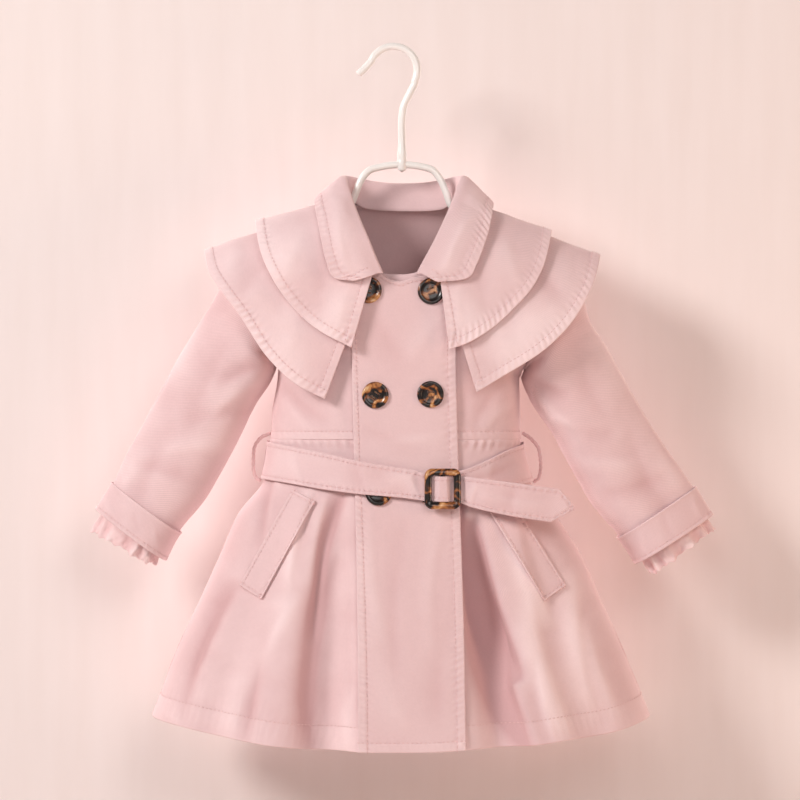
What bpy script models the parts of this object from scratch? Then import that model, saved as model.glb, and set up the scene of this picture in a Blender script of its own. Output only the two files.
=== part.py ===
"""A small child's belted coat of cotton twill, hanging on a coated wire hanger.

All sizes are millimetres, turned into metres when a mesh is made. +X is the right of the front view, +Y
points away from the viewer and +Z is up. The origin is the inside top of the hanger's hook.

The garment is one family of nested forms. At each place (x, z) of the front view a layer's depth in front of
the hanger's plane, or behind it, comes from depth(). Each cloth wall is the room between two such forms.
"""

import math

import bmesh
import bpy
import numpy as np

CLOTH = 1.6
SEAM_GAP = 0.3
HALF_GAP = SEAM_GAP / 2
BODY_MIDDLE = 5.0
SECTION_POWER = 2.3
RIDGE_ROUND_FRONT = 60.0
RIDGE_ROUND_BACK = 40.0
FRONT, BACK = -1.0, 1.0

# The body's sections: its side edges in the front view, and how deep it is before and behind the hanger.
TORSO_COLUMNS = ("z", "left", "right", "front", "back")
TORSO = (
    (-565, -210, 222, 94, 62),
    (-531, -193, 205, 88, 58),
    (-480, -174, 184, 77, 54),
    (-440, -155, 166, 68, 50),
    (-404, -139, 150, 61, 46),
    (-372, -125, 130, 56, 43),
    (-342, -103, 108, 51, 40),
    (-312, -98, 101, 46, 37),
    (-290, -97, 101, 44, 36),
    (-262, -92.5, 100.8, 43, 35),
    (-250, -92, 111, 43, 35),
    (-238, -112, 134, 43, 35),
    (-222, -146, 160, 42, 34),
    (-190, -175, 188, 40, 33),
    (-115, -186, 198, 34, 32),
)

# The top edge over the shoulders of each layer, from the left to the right.
RIDGE_COLUMNS = ("x", "bodice", "lower", "upper", "collar")
RIDGE = (
    (-165, -180.0, -167.0, -161.0, -155.0),
    (-150, -171.0, -161.5, -154.0, -149.0),
    (-128, -160.0, -152.5, -146.0, -141.0),
    (-109, -149.5, -145.5, -138.5, -134.0),
    (-62, -128.5, -126.0, -123.6, -121.0),
    (-38, -121.0, -118.4, -116.0, -113.0),
    (-20, -118.0, -117.0, -115.5, -113.0),
    (6, -117.0, -116.5, -115.0, -113.0),
    (32, -118.0, -117.5, -116.0, -113.5),
    (50, -122.5, -120.0, -117.5, -115.0),
    (78, -132.5, -130.0, -127.2, -124.4),
    (126, -154.5, -149.5, -144.6, -140.0),
    (144, -164.0, -156.5, -151.0, -147.0),
    (165, -176.0, -164.0, -158.0, -153.0),
    (180, -185.0, -171.0, -166.0, -160.0),
)

# How far each layer's outer face stands off the bodice.
LAYER_OUT = {"bodice": 0.0, "panel": 2.5, "lower": 6.8, "upper": 10.0, "collar": 12.8}
CAPE_HALF_WIDTH = 215.0

SHOULDER_LEFT, UNDERARM_LEFT = (-128.0, -160.0), -250.0
SHOULDER_RIGHT, UNDERARM_RIGHT = (143.0, -163.5), -262.0
WAIST_Z = -311.0
UNDERARM_SHARE = 0.4

# Hem height across the front view.
SIDE_HEM_Z, MIDDLE_HEM_Z = -531.0, -551.0
HEM_COLUMNS = ("x", "z")
HEM = ((-193, -531), (-167, -535), (-137, -540.5), (-78, -548.5), (-44, -551.5), (20, -551.5),
       (55, -550), (88, -548.5), (135, -543.5), (160, -541), (205, -531))

# Edges of the two front panels across the height.
PANEL_COLUMNS = ("z", "left", "right")
PANEL = ((-552, -26.8, 55.8), (-470, -27.4, 54.8), (-400, -28.6, 53.0), (-330, -30.6, 50.8),
         (-240, -32.6, 48.8), (-140, -33.2, 48.4))
UNDERLAP_LEFT, UNDERLAP_RIGHT = -21.0, 45.0
BODICE_TUCK = 2.8

# Neck edges in the front view, from the shoulder down or from left to right.
NECK_LEFT = ((-38.0, -121.0), (-37.2, -132.0), (-34.4, -142.0), (-30.0, -150.0))
NECK_RIGHT = ((50.0, -122.5), (48.8, -132.0), (45.3, -139.0))
PANEL_TOP = ((-33.2, -146.0), (-27.0, -160.0), (-19.0, -172.5), (-9.5, -181.0), (0.0, -186.0),
             (6.0, -187.0), (13.0, -184.5), (21.0, -183.0), (35.0, -181.5), (48.4, -181.0))
UNDERLAP_TOP = ((-21.0, -178.5), (-10.0, -180.4), (6.0, -181.4), (18.0, -179.8), (26.0, -173.0),
                (35.0, -159.0), (45.0, -139.5))
BACK_NECK = ((-38.0, -121.0), (-30.0, -123.4), (-12.0, -124.4), (6.0, -124.6), (24.0, -124.6),
             (42.0, -124.2), (50.0, -122.5))
NECK_SHARE = 0.3
NECK_CORNER_STEPS = (0.0, 0.7, 2.5)

# Skirt folds: side, x at the waist and the hem, half width at both, depth at the hem with a minus for a ridge.
FOLDS = (
    (FRONT, -41, -50, 6, 19, 17),
    (FRONT, -62, -94, 13, 21, -5),
    (FRONT, -84, -142, 13, 17, 6),
    (FRONT, 58, 82, 5, 15, 13),
    (FRONT, 74, 120, 13, 20, -4),
    (FRONT, 90, 158, 13, 17, 6),
    (BACK, -72, -142, 10, 20, 8),
    (BACK, -38, -78, 10, 21, 11),
    (BACK, -10, -22, 8, 18, 7),
    (BACK, 26, 48, 9, 20, 10),
    (BACK, 54, 98, 10, 20, 9),
    (BACK, 82, 160, 9, 18, 7),
)
FOLD_START_Z, FOLD_LENGTH, FOLD_SEAM_RAMP = -350.0, 190.0, 11.0

# Capes: neck edge, then outer edge, both from the front opening to the shoulder ridge.
CAPES = {
    "lower": {
        "neck_left": ((-17.0, -181.0), (-22.0, -174.0), (-29.0, -160.0), (-36.5, -142.0), (-40.0, -129.0),
                      (-41.0, -119.5)),
        "edge_left": ((-54.0, -279.0), (-76.0, -267.4), (-98.6, -246.2), (-121.3, -212.4), (-135.7, -193.4),
                      (-145.3, -178.6), (-150.4, -161.7)),
        "neck_right": ((24.0, -181.0), (31.5, -173.0), (40.0, -158.0), (47.5, -141.0), (51.5, -129.0),
                       (53.0, -121.0)),
        "edge_right": ((65.5, -273.6), (83.4, -262.5), (116.5, -241.4), (136.0, -223.3), (149.8, -203.6),
                       (158.5, -186.0), (165.0, -164.0)),
        "neck_back": ((-41.0, -119.5), (-30.0, -124.6), (6.0, -126.0), (42.0, -125.6), (53.0, -121.0)),
        "edge_back": ((-150.4, -161.7), (-141.0, -190.0), (-115.0, -222.0), (-75.0, -247.0),
                      (-30.0, -260.0), (8.0, -263.0), (46.0, -260.0), (91.0, -247.0), (131.0, -222.0),
                      (157.0, -192.0), (165.0, -164.0)),
    },
    "upper": {
        "neck_left": ((-16.5, -181.0), (-22.0, -174.0), (-29.0, -160.0), (-36.5, -142.0), (-40.0, -129.0),
                      (-41.0, -117.0)),
        "edge_left": ((-33.0, -238.5), (-53.7, -228.1), (-69.1, -216.8), (-84.6, -199.8), (-94.6, -184.6),
                      (-104.0, -163.4), (-109.5, -138.7)),
        "neck_right": ((24.0, -181.0), (31.5, -173.0), (40.0, -158.0), (47.5, -141.0), (51.5, -129.0),
                       (53.0, -118.5)),
        "edge_right": ((44.0, -240.0), (57.9, -235.2), (77.3, -223.4), (95.4, -206.9), (108.9, -191.7),
                       (119.0, -172.0), (126.0, -144.6)),
        "neck_back": ((-41.0, -117.0), (-30.0, -124.6), (6.0, -126.0), (42.0, -125.6), (53.0, -118.5)),
        "edge_back": ((-109.5, -138.7), (-104.0, -165.0), (-85.0, -195.0), (-55.0, -214.0), (-15.0, -223.0),
                      (8.0, -224.0), (32.0, -223.0), (72.0, -214.0), (102.0, -195.0), (120.0, -168.0),
                      (126.0, -144.6)),
    },
}

# Collar, left front round to right front: side, x, y, z of the stand's foot, x, y, z of the fold's top, and
# x, z of the fall's edge.
COLLAR = (
    (FRONT, -12.5, -44, -176.5, -9, -50, -180.5, -31.3, -187.3),
    (FRONT, -18, -40, -168, -14, -49, -169, -46.5, -184),
    (FRONT, -25, -34, -153, -20, -46, -154, -52.5, -171),
    (FRONT, -31, -25, -139, -26, -38, -140, -56.5, -154),
    (FRONT, -34.5, -15, -128, -31, -26, -127, -59.5, -139),
    (FRONT, -36.8, -7, -121.5, -36, -12, -112, -61.5, -128),
    (0.0, -37.2, 0, -118.5, -38.5, 0, -102, -62, -120.9),
    (BACK, -34, 8.5, -120.0, -35, 10, -101.5, -60, -134),
    (BACK, -22, 14.5, -122.2, -22, 17.5, -104, -46, -153),
    (BACK, -5, 17.6, -123.3, -5, 21, -106, -22, -162),
    (BACK, 8, 18, -123.6, 8, 21.5, -106.5, 8, -164),
    (BACK, 22, 17.6, -123.6, 22, 21, -106, 38, -162),
    (BACK, 38, 14, -123.0, 39, 17, -104, 62, -153),
    (BACK, 48, 7.5, -121.8, 51, 9, -101.5, 76, -138),
    (0.0, 49.6, 0, -120.0, 54.5, 0, -102, 78.6, -124.2),
    (FRONT, 48.8, -8, -123.5, 51.5, -12, -111, 77.5, -133),
    (FRONT, 46.2, -16, -130, 46.5, -25, -125, 75.5, -145),
    (FRONT, 41.5, -26, -141, 40.5, -37, -139, 71.5, -158),
    (FRONT, 35, -35, -155, 33, -45, -155, 66, -172),
    (FRONT, 27.5, -41, -169, 25.5, -49, -169, 58, -184.5),
    (FRONT, 22, -44, -176.5, 19.4, -50, -181, 35.1, -188),
)
FOLD_HALF_TURN, FOLD_RISE = 2.3, np.array([0.0, 0.0, 0.9])

# Sleeves, from the armhole to the cuff's edge: x, z of the outer edge, x, z of the inner edge, half depth.
SLEEVES = {
    "left": ((-128, -160, -92, -250, 31), (-140, -192, -94.8, -257, 29), (-152, -213, -100, -268, 28),
             (-163, -233.6, -107.7, -280, 27), (-180, -263, -120, -304, 26),
             (-198, -296, -134.5, -332, 25), (-212, -321, -150, -359, 24),
             (-223.8, -347, -171.4, -385, 22), (-236.4, -368.4, -183.6, -406.6, 22)),
    "right": ((143, -163.5, 101, -262, 31), (150, -191, 103.8, -269, 29), (158.5, -220, 108, -278, 28),
              (170.8, -240, 115, -289, 27), (184, -264, 128, -308, 26), (200, -291, 141, -333, 25),
              (220, -321, 158, -362, 24), (240, -350.4, 180.8, -388.6, 22),
              (253.6, -372.6, 194.8, -409.4, 22)),
}
CUFF_GAP, CUFF_DROP = 0.7, 2.5
FRILL_RISE, FRILL_DROP = 12.0, 12.0
FRILL_WAVES, FRILL_SLOW_WAVES, FRILL_WAVE, FRILL_SLOW_SHARE = 11, 6, 1.5, 0.35

BELT_Z = -328.0
# Belt over the body: x, z of the top and of the bottom edge, and how far its inner face stands off.
STRAP = (
    (-108, -312.0, -341.0, 1.4), (-83, -316.2, -344.6, 2.0), (-52, -322.3, -350.0, 3.4),
    (-24, -328.6, -353.4, 5.3), (5, -333.2, -355.8, 5.6), (20, -336.0, -357.8, 6.0),
    (28, -339.2, -358.8, 6.7), (31, -339.8, -359.0, 7.3), (35.6, -340.0, -359.0, 10.8),
    (41.0, -340.0, -359.0, 10.8), (45.4, -340.0, -359.0, 7.2), (49, -340.0, -359.2, 6.8),
    (54.4, -340.0, -361.6, 6.8),
)
# The tail beyond the buckle: x, z of its top edge, x, z of its bottom edge, and y.
TAIL = ((60, -340.5, 59.0, -363.0, -58.6), (76, -342.6, 73, -366.5, -60.5),
        (104, -346.4, 99, -371.6, -59.5), (128, -349.6, 120, -375.4, -57.5),
        (134, -352.6, 127, -375.9, -56.8), (141.4, -364.0, 138, -370.4, -56.0))
BELT_RIGHT = ((44.0, -337.0, -361.5, 3.6), (56, -334.6, -358.5, 3.4), (72, -328.0, -353.5, 2.6),
              (92, -319.0, -347.4, 1.8), (112, -313.0, -342.0, 1.4))
BELT_BACK = ((-108, -312.0, -341.0, 1.4), (-60, -316.0, -344.0, 1.4), (5, -318.0, -345.5, 1.4),
             (65, -316.5, -344.5, 1.4), (112, -313.0, -342.0, 1.4))

BUCKLE_X, BUCKLE_Z = (24.3, 52.9), (-365.2, -333.5)
BUCKLE_BAR, BUCKLE_THICK, BUCKLE_OFF = 5.7, 3.2, 9.4
CENTRE_BAR_WIDTH, CENTRE_BAR_OFF = 3.6, (8.0, 10.0)

BUTTON_RADIUS, BUTTON_THICK, BUTTON_OFF, BUTTON_SPAN = 10.5, 2.2, 2.85, 4.0
BUTTONS = ((-19.6, -193.6), (29.6, -194.4), (-14.2, -276.2), (29.1, -275.6), (-11.5, -352.4),
           (29.8, -352.0))

# Pocket welts: corners in the front view, top at the centre side, going round.
POCKETS = {
    "left": ((-61.7, -359.3), (-79.7, -350.4), (-121.2, -425.2), (-103.5, -435.4)),
    "right": ((73.5, -364.0), (91.4, -355.4), (135.3, -425.5), (118.6, -437.0)),
}

POCKET_GAP = 0.9

LOOP_RADIUS = 1.1
LOOPS = {
    "left": ((-98.6, -306.5), (-106.5, -310.5), (-111.6, -319.5), (-112.2, -333.0), (-110.4, -341.5),
             (-106.6, -344.4)),
    "right": ((103.3, -306.5), (110.0, -311.0), (116.4, -320.0), (117.8, -333.0), (116.2, -342.2),
              (112.2, -345.4)),
}

WIRE_RADIUS = 2.9
HOOK_RADIUS, HOOK_CENTRE_Z = 19.1, -16.2
HOOK_TIP = (-27.6, -19.2)
STEM = ((17.6, -26.0), (12.3, -36.2), (7.6, -47.4), (6.5, -60.8), (6.8, -73.6), (6.8, -91.0))
FERRULE_TOP_Z, FERRULE_RADIUS = -74.0, 3.7
ARM_LEFT = ((-7.0, -92.8), (-18.0, -95.6), (-25.6, -103.5), (-30.0, -113.5), (-33.4, -122.0),
            (-39.5, -127.6))
ARM_RIGHT = ((20.0, -92.8), (30.0, -95.4), (37.4, -103.5), (41.8, -113.0), (45.6, -123.6),
             (51.5, -130.2))
ARM_ENDS = (-100.0, 112.0)
ARM_DROP = CLOTH + 0.8 + WIRE_RADIUS

COTTON = ("pink_twill", (0.86, 0.62, 0.62), 0.9)
FRILL = ("pale_frill", (0.9, 0.68, 0.68), 0.85)
SHELL = ("tortoiseshell", (0.28, 0.11, 0.03), 0.25)
WHITE = ("white_coating", (0.88, 0.86, 0.84), 0.3)


def smooth(xs, ys, x):
    """Reads a smooth curve through a table's rows that never overshoots them."""
    xs, ys = np.asarray(xs, float), np.asarray(ys, float)
    x = np.clip(x, xs[0], xs[-1])
    step = np.diff(xs)
    slope = np.diff(ys) / step
    product = slope[1:] * slope[:-1]
    total = slope[1:] + slope[:-1]
    inner = np.where(product > 0, 2 * product / np.where(total == 0, 1, total), 0)
    tangent = np.concatenate(([slope[0]], inner, [slope[-1]]))
    i = np.clip(np.searchsorted(xs, x, side="right") - 1, 0, len(step) - 1)
    t = (x - xs[i]) / step[i]
    start, end = ys[i], ys[i + 1]
    return (start * (1 + 2 * t) * (1 - t) ** 2 + tangent[i] * step[i] * t * (1 - t) ** 2
            + end * t * t * (3 - 2 * t) + tangent[i + 1] * step[i] * t * t * (t - 1))


def column(table, names, name, key):
    """Reads one column of a table at a value of its first column."""
    rows = np.asarray(table, float)
    return smooth(rows[:, 0], rows[:, names.index(name)], key)


def path(points, s):
    """The point at a share s of the way along a smooth line through some points."""
    points = np.asarray(points, float)
    gaps = np.linalg.norm(np.diff(points, axis=0), axis=1)
    at = np.concatenate(([0.0], np.cumsum(gaps)))
    return np.array([smooth(at, points[:, k], s * at[-1]) for k in range(points.shape[1])])


def mix(a, b, t):
    return a + (b - a) * t


def torso(name, z):
    return column(TORSO, TORSO_COLUMNS, name, z)


def ridge(layer, x):
    name = "bodice" if layer == "panel" else layer
    return column(RIDGE, RIDGE_COLUMNS, name, x)


def depth(x, z, side, layer="bodice", inset=0.0, off=0.0):
    """How far a layer's face is from the hanger's plane, on the front or the back."""
    out = LAYER_OUT[layer] + off - inset
    if layer in ("bodice", "panel"):
        left, right = torso("left", z), torso("right", z)
        middle, half = (left + right) / 2, (right - left) / 2 + out
    else:
        middle, half = BODY_MIDDLE, CAPE_HALF_WIDTH
    across = min(abs(x - middle) / half, 1.0)
    section = (1 - across ** SECTION_POWER) ** (1 / SECTION_POWER)
    rounding = RIDGE_ROUND_FRONT if side == FRONT else RIDGE_ROUND_BACK
    lift = max(out, 0.0) * (layer == "bodice" or layer == "panel")
    drop = (ridge(layer, x) + lift - inset - z) / rounding
    top = math.sqrt(1 - (1 - min(max(drop, 0.0), 1.0)) ** 2)
    base = torso("front" if side == FRONT else "back", z)
    return (base + out) * section * top + HALF_GAP


def folds(x, z, side):
    """How far the skirt's folds sink into it, or stand off it, at a place."""
    grown = min(max((FOLD_START_Z - z) / FOLD_LENGTH, 0.0), 1.1)
    sunk = 0.0
    for fold_side, x_waist, x_hem, width_waist, width_hem, fold_depth in FOLDS:
        if fold_side == side:
            centre, width = mix(x_waist, x_hem, grown), mix(width_waist, width_hem, grown)
            sunk += fold_depth * grown ** 0.8 * math.exp(-(((x - centre) / width) ** 2))
    left, right = torso("left", z), torso("right", z)
    across = min(abs(2 * x - left - right) / (right - left), 1.0)
    sunk *= math.sqrt(1 - across ** 4)
    if side == FRONT:
        from_seam = min(max((panel_edge("left", z) + BODICE_TUCK - x) / FOLD_SEAM_RAMP, 0.0), 1.0)
        sunk *= from_seam if x < 0 else 1.0
    return sunk


def under_edge(place, side, inset):
    """A neck edge's place on the inner face: lower by the cloth's thickness over the shoulder."""
    rounding = RIDGE_ROUND_FRONT if side == FRONT else RIDGE_ROUND_BACK
    drop = min(max((ridge("bodice", place[0]) - place[1]) / rounding, 0.0), 1.0)
    top = math.sqrt(1 - (1 - drop) ** 2)
    return np.array([place[0], place[1] - inset * (1 - top)])


def face_point(x, z, side, layer="bodice", inset=0.0, off=0.0, folded=False):
    """A point on a layer's face."""
    y = depth(x, z, side, layer, inset, off)
    if folded:
        y -= folds(x, z, side)
    return (x, side * y, z)


def new_material(look):
    name, colour, roughness = look
    material = bpy.data.materials.get(name)
    if material is None:
        material = bpy.data.materials.new(name)
        material.use_nodes = True
        shader = material.node_tree.nodes["Principled BSDF"]
        shader.inputs["Base Color"].default_value = (*colour, 1.0)
        shader.inputs["Roughness"].default_value = roughness
    return material


def add_object(name, points, faces, look):
    """Makes a mesh object from points in millimetres, with its faces turned outwards."""
    mesh = bpy.data.meshes.new(name)
    mesh.from_pydata([tuple(c / 1000 for c in p) for p in points], [], faces)
    shape = bmesh.new()
    shape.from_mesh(mesh)
    bmesh.ops.recalc_face_normals(shape, faces=shape.faces)
    shape.to_mesh(mesh)
    shape.free()
    mesh.shade_smooth()
    mesh.set_sharp_from_angle(angle=math.radians(40))
    mesh.materials.append(new_material(look))
    thing = bpy.data.objects.new(name, mesh)
    bpy.context.scene.collection.objects.link(thing)
    return thing


def grid_faces(columns, rows, start, closed):
    """Quads over a grid of points, row by row, from the index start."""
    faces = []
    for i in range(columns if closed else columns - 1):
        after = (i + 1) % columns
        for j in range(rows - 1):
            faces.append((start + i * rows + j, start + after * rows + j,
                          start + after * rows + j + 1, start + i * rows + j + 1))
    return faces


def wall(name, outer, inner, look=COTTON, closed=False):
    """A solid between two grids of points: a sheet with an edge all round, or a tube when closed."""
    outer, inner = np.asarray(outer, float), np.asarray(inner, float)
    columns, rows = outer.shape[:2]
    size = columns * rows
    points = np.concatenate((outer.reshape(-1, 3), inner.reshape(-1, 3)))
    faces = grid_faces(columns, rows, 0, closed)
    faces += [tuple(reversed(face)) for face in grid_faces(columns, rows, size, closed)]
    for i in range(columns if closed else columns - 1):
        after = (i + 1) % columns
        for j in (0, rows - 1):
            a, b = i * rows + j, after * rows + j
            faces.append((a, b, b + size, a + size))
    if not closed:
        for i in (0, columns - 1):
            for j in range(rows - 1):
                a = i * rows + j
                faces.append((a, a + 1, a + 1 + size, a + size))
    return add_object(name, points, faces, look)


def thinner(outer, thick):
    """The grid moved inwards by a thickness, along its normals."""
    outer = np.asarray(outer, float)
    along, across = np.gradient(outer, axis=0), np.gradient(outer, axis=1)
    normals = np.cross(along, across)
    normals /= np.linalg.norm(normals, axis=2, keepdims=True)
    return outer - normals * thick


def tube(name, points, radii, sides, look):
    """A closed round tube along a line that lies near the hanger's plane."""
    points = np.asarray(points, float)
    tangents = np.gradient(points, axis=0)
    tangents /= np.linalg.norm(tangents, axis=1, keepdims=True)
    across = np.array([0.0, 1.0, 0.0])
    vertices, faces = [], []
    for i, (point, tangent) in enumerate(zip(points, tangents)):
        beside = np.cross(tangent, across)
        beside /= np.linalg.norm(beside)
        up = np.cross(beside, tangent)
        for k in range(sides):
            turn = 2 * math.pi * k / sides
            vertices.append(point + radii[i] * (math.cos(turn) * beside + math.sin(turn) * up))
    for i in range(len(points) - 1):
        for k in range(sides):
            after = (k + 1) % sides
            faces.append((i * sides + k, i * sides + after, (i + 1) * sides + after, (i + 1) * sides + k))
    last = (len(points) - 1) * sides
    faces.append(tuple(range(sides)))
    faces.append(tuple(last + k for k in reversed(range(sides))))
    return add_object(name, vertices, faces, look)


def join(base, tool):
    """Joins a second solid into the first."""
    modifier = base.modifiers.new("join", "BOOLEAN")
    modifier.operation = "UNION"
    modifier.object = tool
    tool.hide_render = True
    tool.display_type = "WIRE"


def eased(count):
    """Shares from 0 to 1 that crowd towards 1."""
    return [math.sin(math.pi / 2 * k / (count - 1)) for k in range(count)]


def eased_both(count):
    """Shares from 0 to 1 that crowd towards both ends."""
    return [(1 - math.cos(math.pi * k / (count - 1))) / 2 for k in range(count)]


def patch(bottom, top, start, end, us, vs):
    """Places between four edges: bottom and top run with u, start and end with v."""
    grid = []
    for u in us:
        line = []
        for v in vs:
            edges = (1 - v) * bottom(u) + v * top(u) + (1 - u) * start(v) + u * end(v)
            corners = ((1 - u) * (1 - v) * bottom(0) + u * (1 - v) * bottom(1)
                       + (1 - u) * v * top(0) + u * v * top(1))
            line.append(edges - corners)
        grid.append(line)
    return grid


def side_edge(side_name, v, inset):
    """The bodice's outer edge: up the side seam to the underarm, then up the armhole."""
    sign = -1 if side_name == "left" else 1
    underarm_z = UNDERARM_LEFT if side_name == "left" else UNDERARM_RIGHT
    shoulder = SHOULDER_LEFT if side_name == "left" else SHOULDER_RIGHT
    bend = UNDERARM_SHARE
    if v < bend:
        z = mix(WAIST_Z, underarm_z, v / bend)
        return np.array([torso(side_name, z) - sign * inset, z])
    low = np.array([torso(side_name, underarm_z), underarm_z])
    high = np.array([shoulder[0], ridge("bodice", shoulder[0])])
    along = (high - low) / np.linalg.norm(high - low)
    return mix(low + along * inset, high - along * inset, (v - bend) / (1 - bend))


def bodice_front_places(side_name, inset):
    sign = -1 if side_name == "left" else 1
    neck = NECK_LEFT if side_name == "left" else NECK_RIGHT
    shoulder = SHOULDER_LEFT if side_name == "left" else SHOULDER_RIGHT
    front_x = neck[-1][0]
    neck_share = NECK_SHARE

    def bottom(u):
        return np.array([mix(front_x, torso(side_name, WAIST_Z) - sign * inset, u), WAIST_Z])

    def top(u):
        if u <= neck_share:
            return under_edge(path(neck[::-1], u / neck_share), FRONT, inset)
        x = mix(neck[0][0], shoulder[0], (u - neck_share) / (1 - neck_share))
        return np.array([x, ridge("bodice", x) - inset])

    def start(v):
        return np.array([front_x, mix(WAIST_Z, neck[-1][1], v)])

    us = sorted(set(eased(9)) | {0.08, 0.22, 0.26, 0.285, neck_share})   # crowded at the neck's corner
    vs = sorted(set(eased(11)) | {UNDERARM_SHARE})
    return patch(bottom, top, start, lambda v: side_edge(side_name, v, inset), us, vs)


def make_bodice():
    for side_name in ("left", "right"):
        outer = [[face_point(x, z, FRONT) for x, z in line] for line in bodice_front_places(side_name, 0.0)]
        inner = [[face_point(x, z, FRONT, inset=CLOTH) for x, z in line]
                 for line in bodice_front_places(side_name, CLOTH)]
        wall(f"bodice_{side_name}_front", outer, inner)

    def back_places(inset):
        neck = np.asarray(BACK_NECK)

        def bottom(u):
            left, right = torso("left", WAIST_Z) + inset, torso("right", WAIST_Z) - inset
            return np.array([mix(left, right, u), WAIST_Z])

        def top(u):
            x = mix(SHOULDER_LEFT[0], SHOULDER_RIGHT[0], u)
            if neck[0, 0] < x < neck[-1, 0]:
                return under_edge(np.array([x, smooth(neck[:, 0], neck[:, 1], x)]), BACK, inset)
            return np.array([x, ridge("bodice", x) - inset])

        span = SHOULDER_RIGHT[0] - SHOULDER_LEFT[0]
        near_corners = [neck[0, 0] + step for step in NECK_CORNER_STEPS]
        near_corners += [neck[-1, 0] - step for step in NECK_CORNER_STEPS]
        us = sorted(set(eased_both(15)) | {(x - SHOULDER_LEFT[0]) / span for x in near_corners})
        vs = sorted(set(eased(11)) | {UNDERARM_SHARE})
        return patch(bottom, top, lambda v: side_edge("left", v, inset),
                     lambda v: side_edge("right", v, inset), us, vs)

    outer = [[face_point(x, z, BACK) for x, z in line] for line in back_places(0.0)]
    inner = [[face_point(x, z, BACK, inset=CLOTH) for x, z in line] for line in back_places(CLOTH)]
    wall("bodice_back", outer, inner)


def hem_z(x):
    return column(HEM, HEM_COLUMNS, "z", x)


def panel_edge(name, z):
    return column(PANEL, PANEL_COLUMNS, name, z)


def make_front_panels():
    overlap_top = np.asarray(PANEL_TOP)
    underlap_top = np.asarray(UNDERLAP_TOP)
    overlap_hem_rise, underlap_hem_rise = 0.0, 3.0
    overlap_shares = (0.0, 0.035, 0.09, 0.2, 0.4, 0.6, 0.8, 1.0)
    underlap_shares = (0.0, 0.2, 0.4, 0.6, 0.8, 1.0)

    def strip(top_edge, left_of, right_of, layer, inset, shares, rows, rise):
        grid = []
        ups = [mix(k / (rows - 1), up, 0.5) for k, up in enumerate(eased(rows))]
        for share in shares:
            top_x = mix(top_edge[0, 0], top_edge[-1, 0], share)
            top_z = smooth(top_edge[:, 0], top_edge[:, 1], top_x)
            line = []
            for j in range(rows):
                hem_x = mix(left_of(MIDDLE_HEM_Z), right_of(MIDDLE_HEM_Z), share)
                z = mix(hem_z(hem_x) + rise, top_z, ups[j])
                x = mix(left_of(z), right_of(z), share)
                if j == rows - 1:
                    x = top_x
                line.append(face_point(x, z, FRONT, layer, inset))
            grid.append(line)
        return grid

    overlap = [strip(overlap_top, lambda z: panel_edge("left", z), lambda z: panel_edge("right", z),
                     "panel", inset, overlap_shares, 20, overlap_hem_rise) for inset in (0.0, CLOTH)]
    wall("overlap_panel", *overlap)
    underlap = [strip(underlap_top, lambda z: UNDERLAP_LEFT, lambda z: UNDERLAP_RIGHT,
                      "bodice", inset, underlap_shares, 16, underlap_hem_rise) for inset in (0.0, CLOTH)]
    wall("underlap_panel", *underlap)


def skirt_grid(start_of, side_name, side, inset, columns, rows, crowd):
    """A skirt panel's face, from an upright edge to the side seam."""
    sign = -1 if side_name == "left" else 1
    grid = []
    for share in crowd(columns):
        line = []
        for j in range(rows):
            low_x = mix(start_of(SIDE_HEM_Z), torso(side_name, SIDE_HEM_Z) - sign * inset, share)
            rise = 1 - (1 - j / (rows - 1)) ** 1.7
            z = mix(hem_z(low_x), WAIST_Z - SEAM_GAP, rise)
            x = mix(start_of(z), torso(side_name, z) - sign * inset, share)
            line.append(face_point(x, z, side, inset=inset, folded=True))
        grid.append(line)
    return grid


def make_skirt():
    def front_start(side_name, z):
        return panel_edge("left", z) + BODICE_TUCK if side_name == "left" else NECK_RIGHT[-1][0]

    for side_name, sign in (("left", -1), ("right", 1)):
        grids = [skirt_grid(lambda z: front_start(side_name, z), side_name, FRONT, inset, 18, 10, eased)
                 for inset in (0.0, CLOTH)]
        wall(f"skirt_{side_name}_front", *grids)
        grids = [skirt_grid(lambda z: BODY_MIDDLE + sign * HALF_GAP, side_name, BACK, inset, 18, 10, eased)
                 for inset in (0.0, CLOTH)]
        wall(f"skirt_{side_name}_back", *grids)


def cape_grid(layer, inset):
    """A cape's face, from its left front edge over the shoulder, round the back and to its right front."""
    edges = CAPES[layer]
    rows = 7

    def cape_line(neck, edge, share, side, shoulders):
        """Places from the neck to the edge. Each shoulder in the list pulls them up to the ridge."""
        line = []
        for j in range(rows):
            r = j / (rows - 1)
            place = mix(path(neck, share), path(edge, share), r)
            for at, pull in shoulders:
                top = mix(path(neck, at), path(edge, at), r)
                place[1] += pull * (ridge(layer, top[0]) - inset - top[1])
            if any(pull == 1 for _, pull in shoulders):
                line.append((place[0], 0.0, place[1]))
            else:
                line.append(face_point(place[0], place[1], side, layer, inset))
        return line

    def front(side_name, share):
        neck, edge = edges[f"neck_{side_name}"], edges[f"edge_{side_name}"]
        return cape_line(neck, edge, share, FRONT, ((1.0, share),))

    def back(share):
        shoulders = ((0.0, 1 - share), (1.0, share))
        return cape_line(edges["neck_back"], edges["edge_back"], share, BACK, shoulders)

    grid = [front("left", share) for share in eased(12)]
    grid += [back(share) for share in eased_both(17)[1:-1]]
    grid += [front("right", share) for share in reversed(eased(12))]
    return grid


def make_capes():
    for layer in ("lower", "upper"):
        wall(f"{layer}_cape", cape_grid(layer, 0.0), cape_grid(layer, CLOTH))


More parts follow.
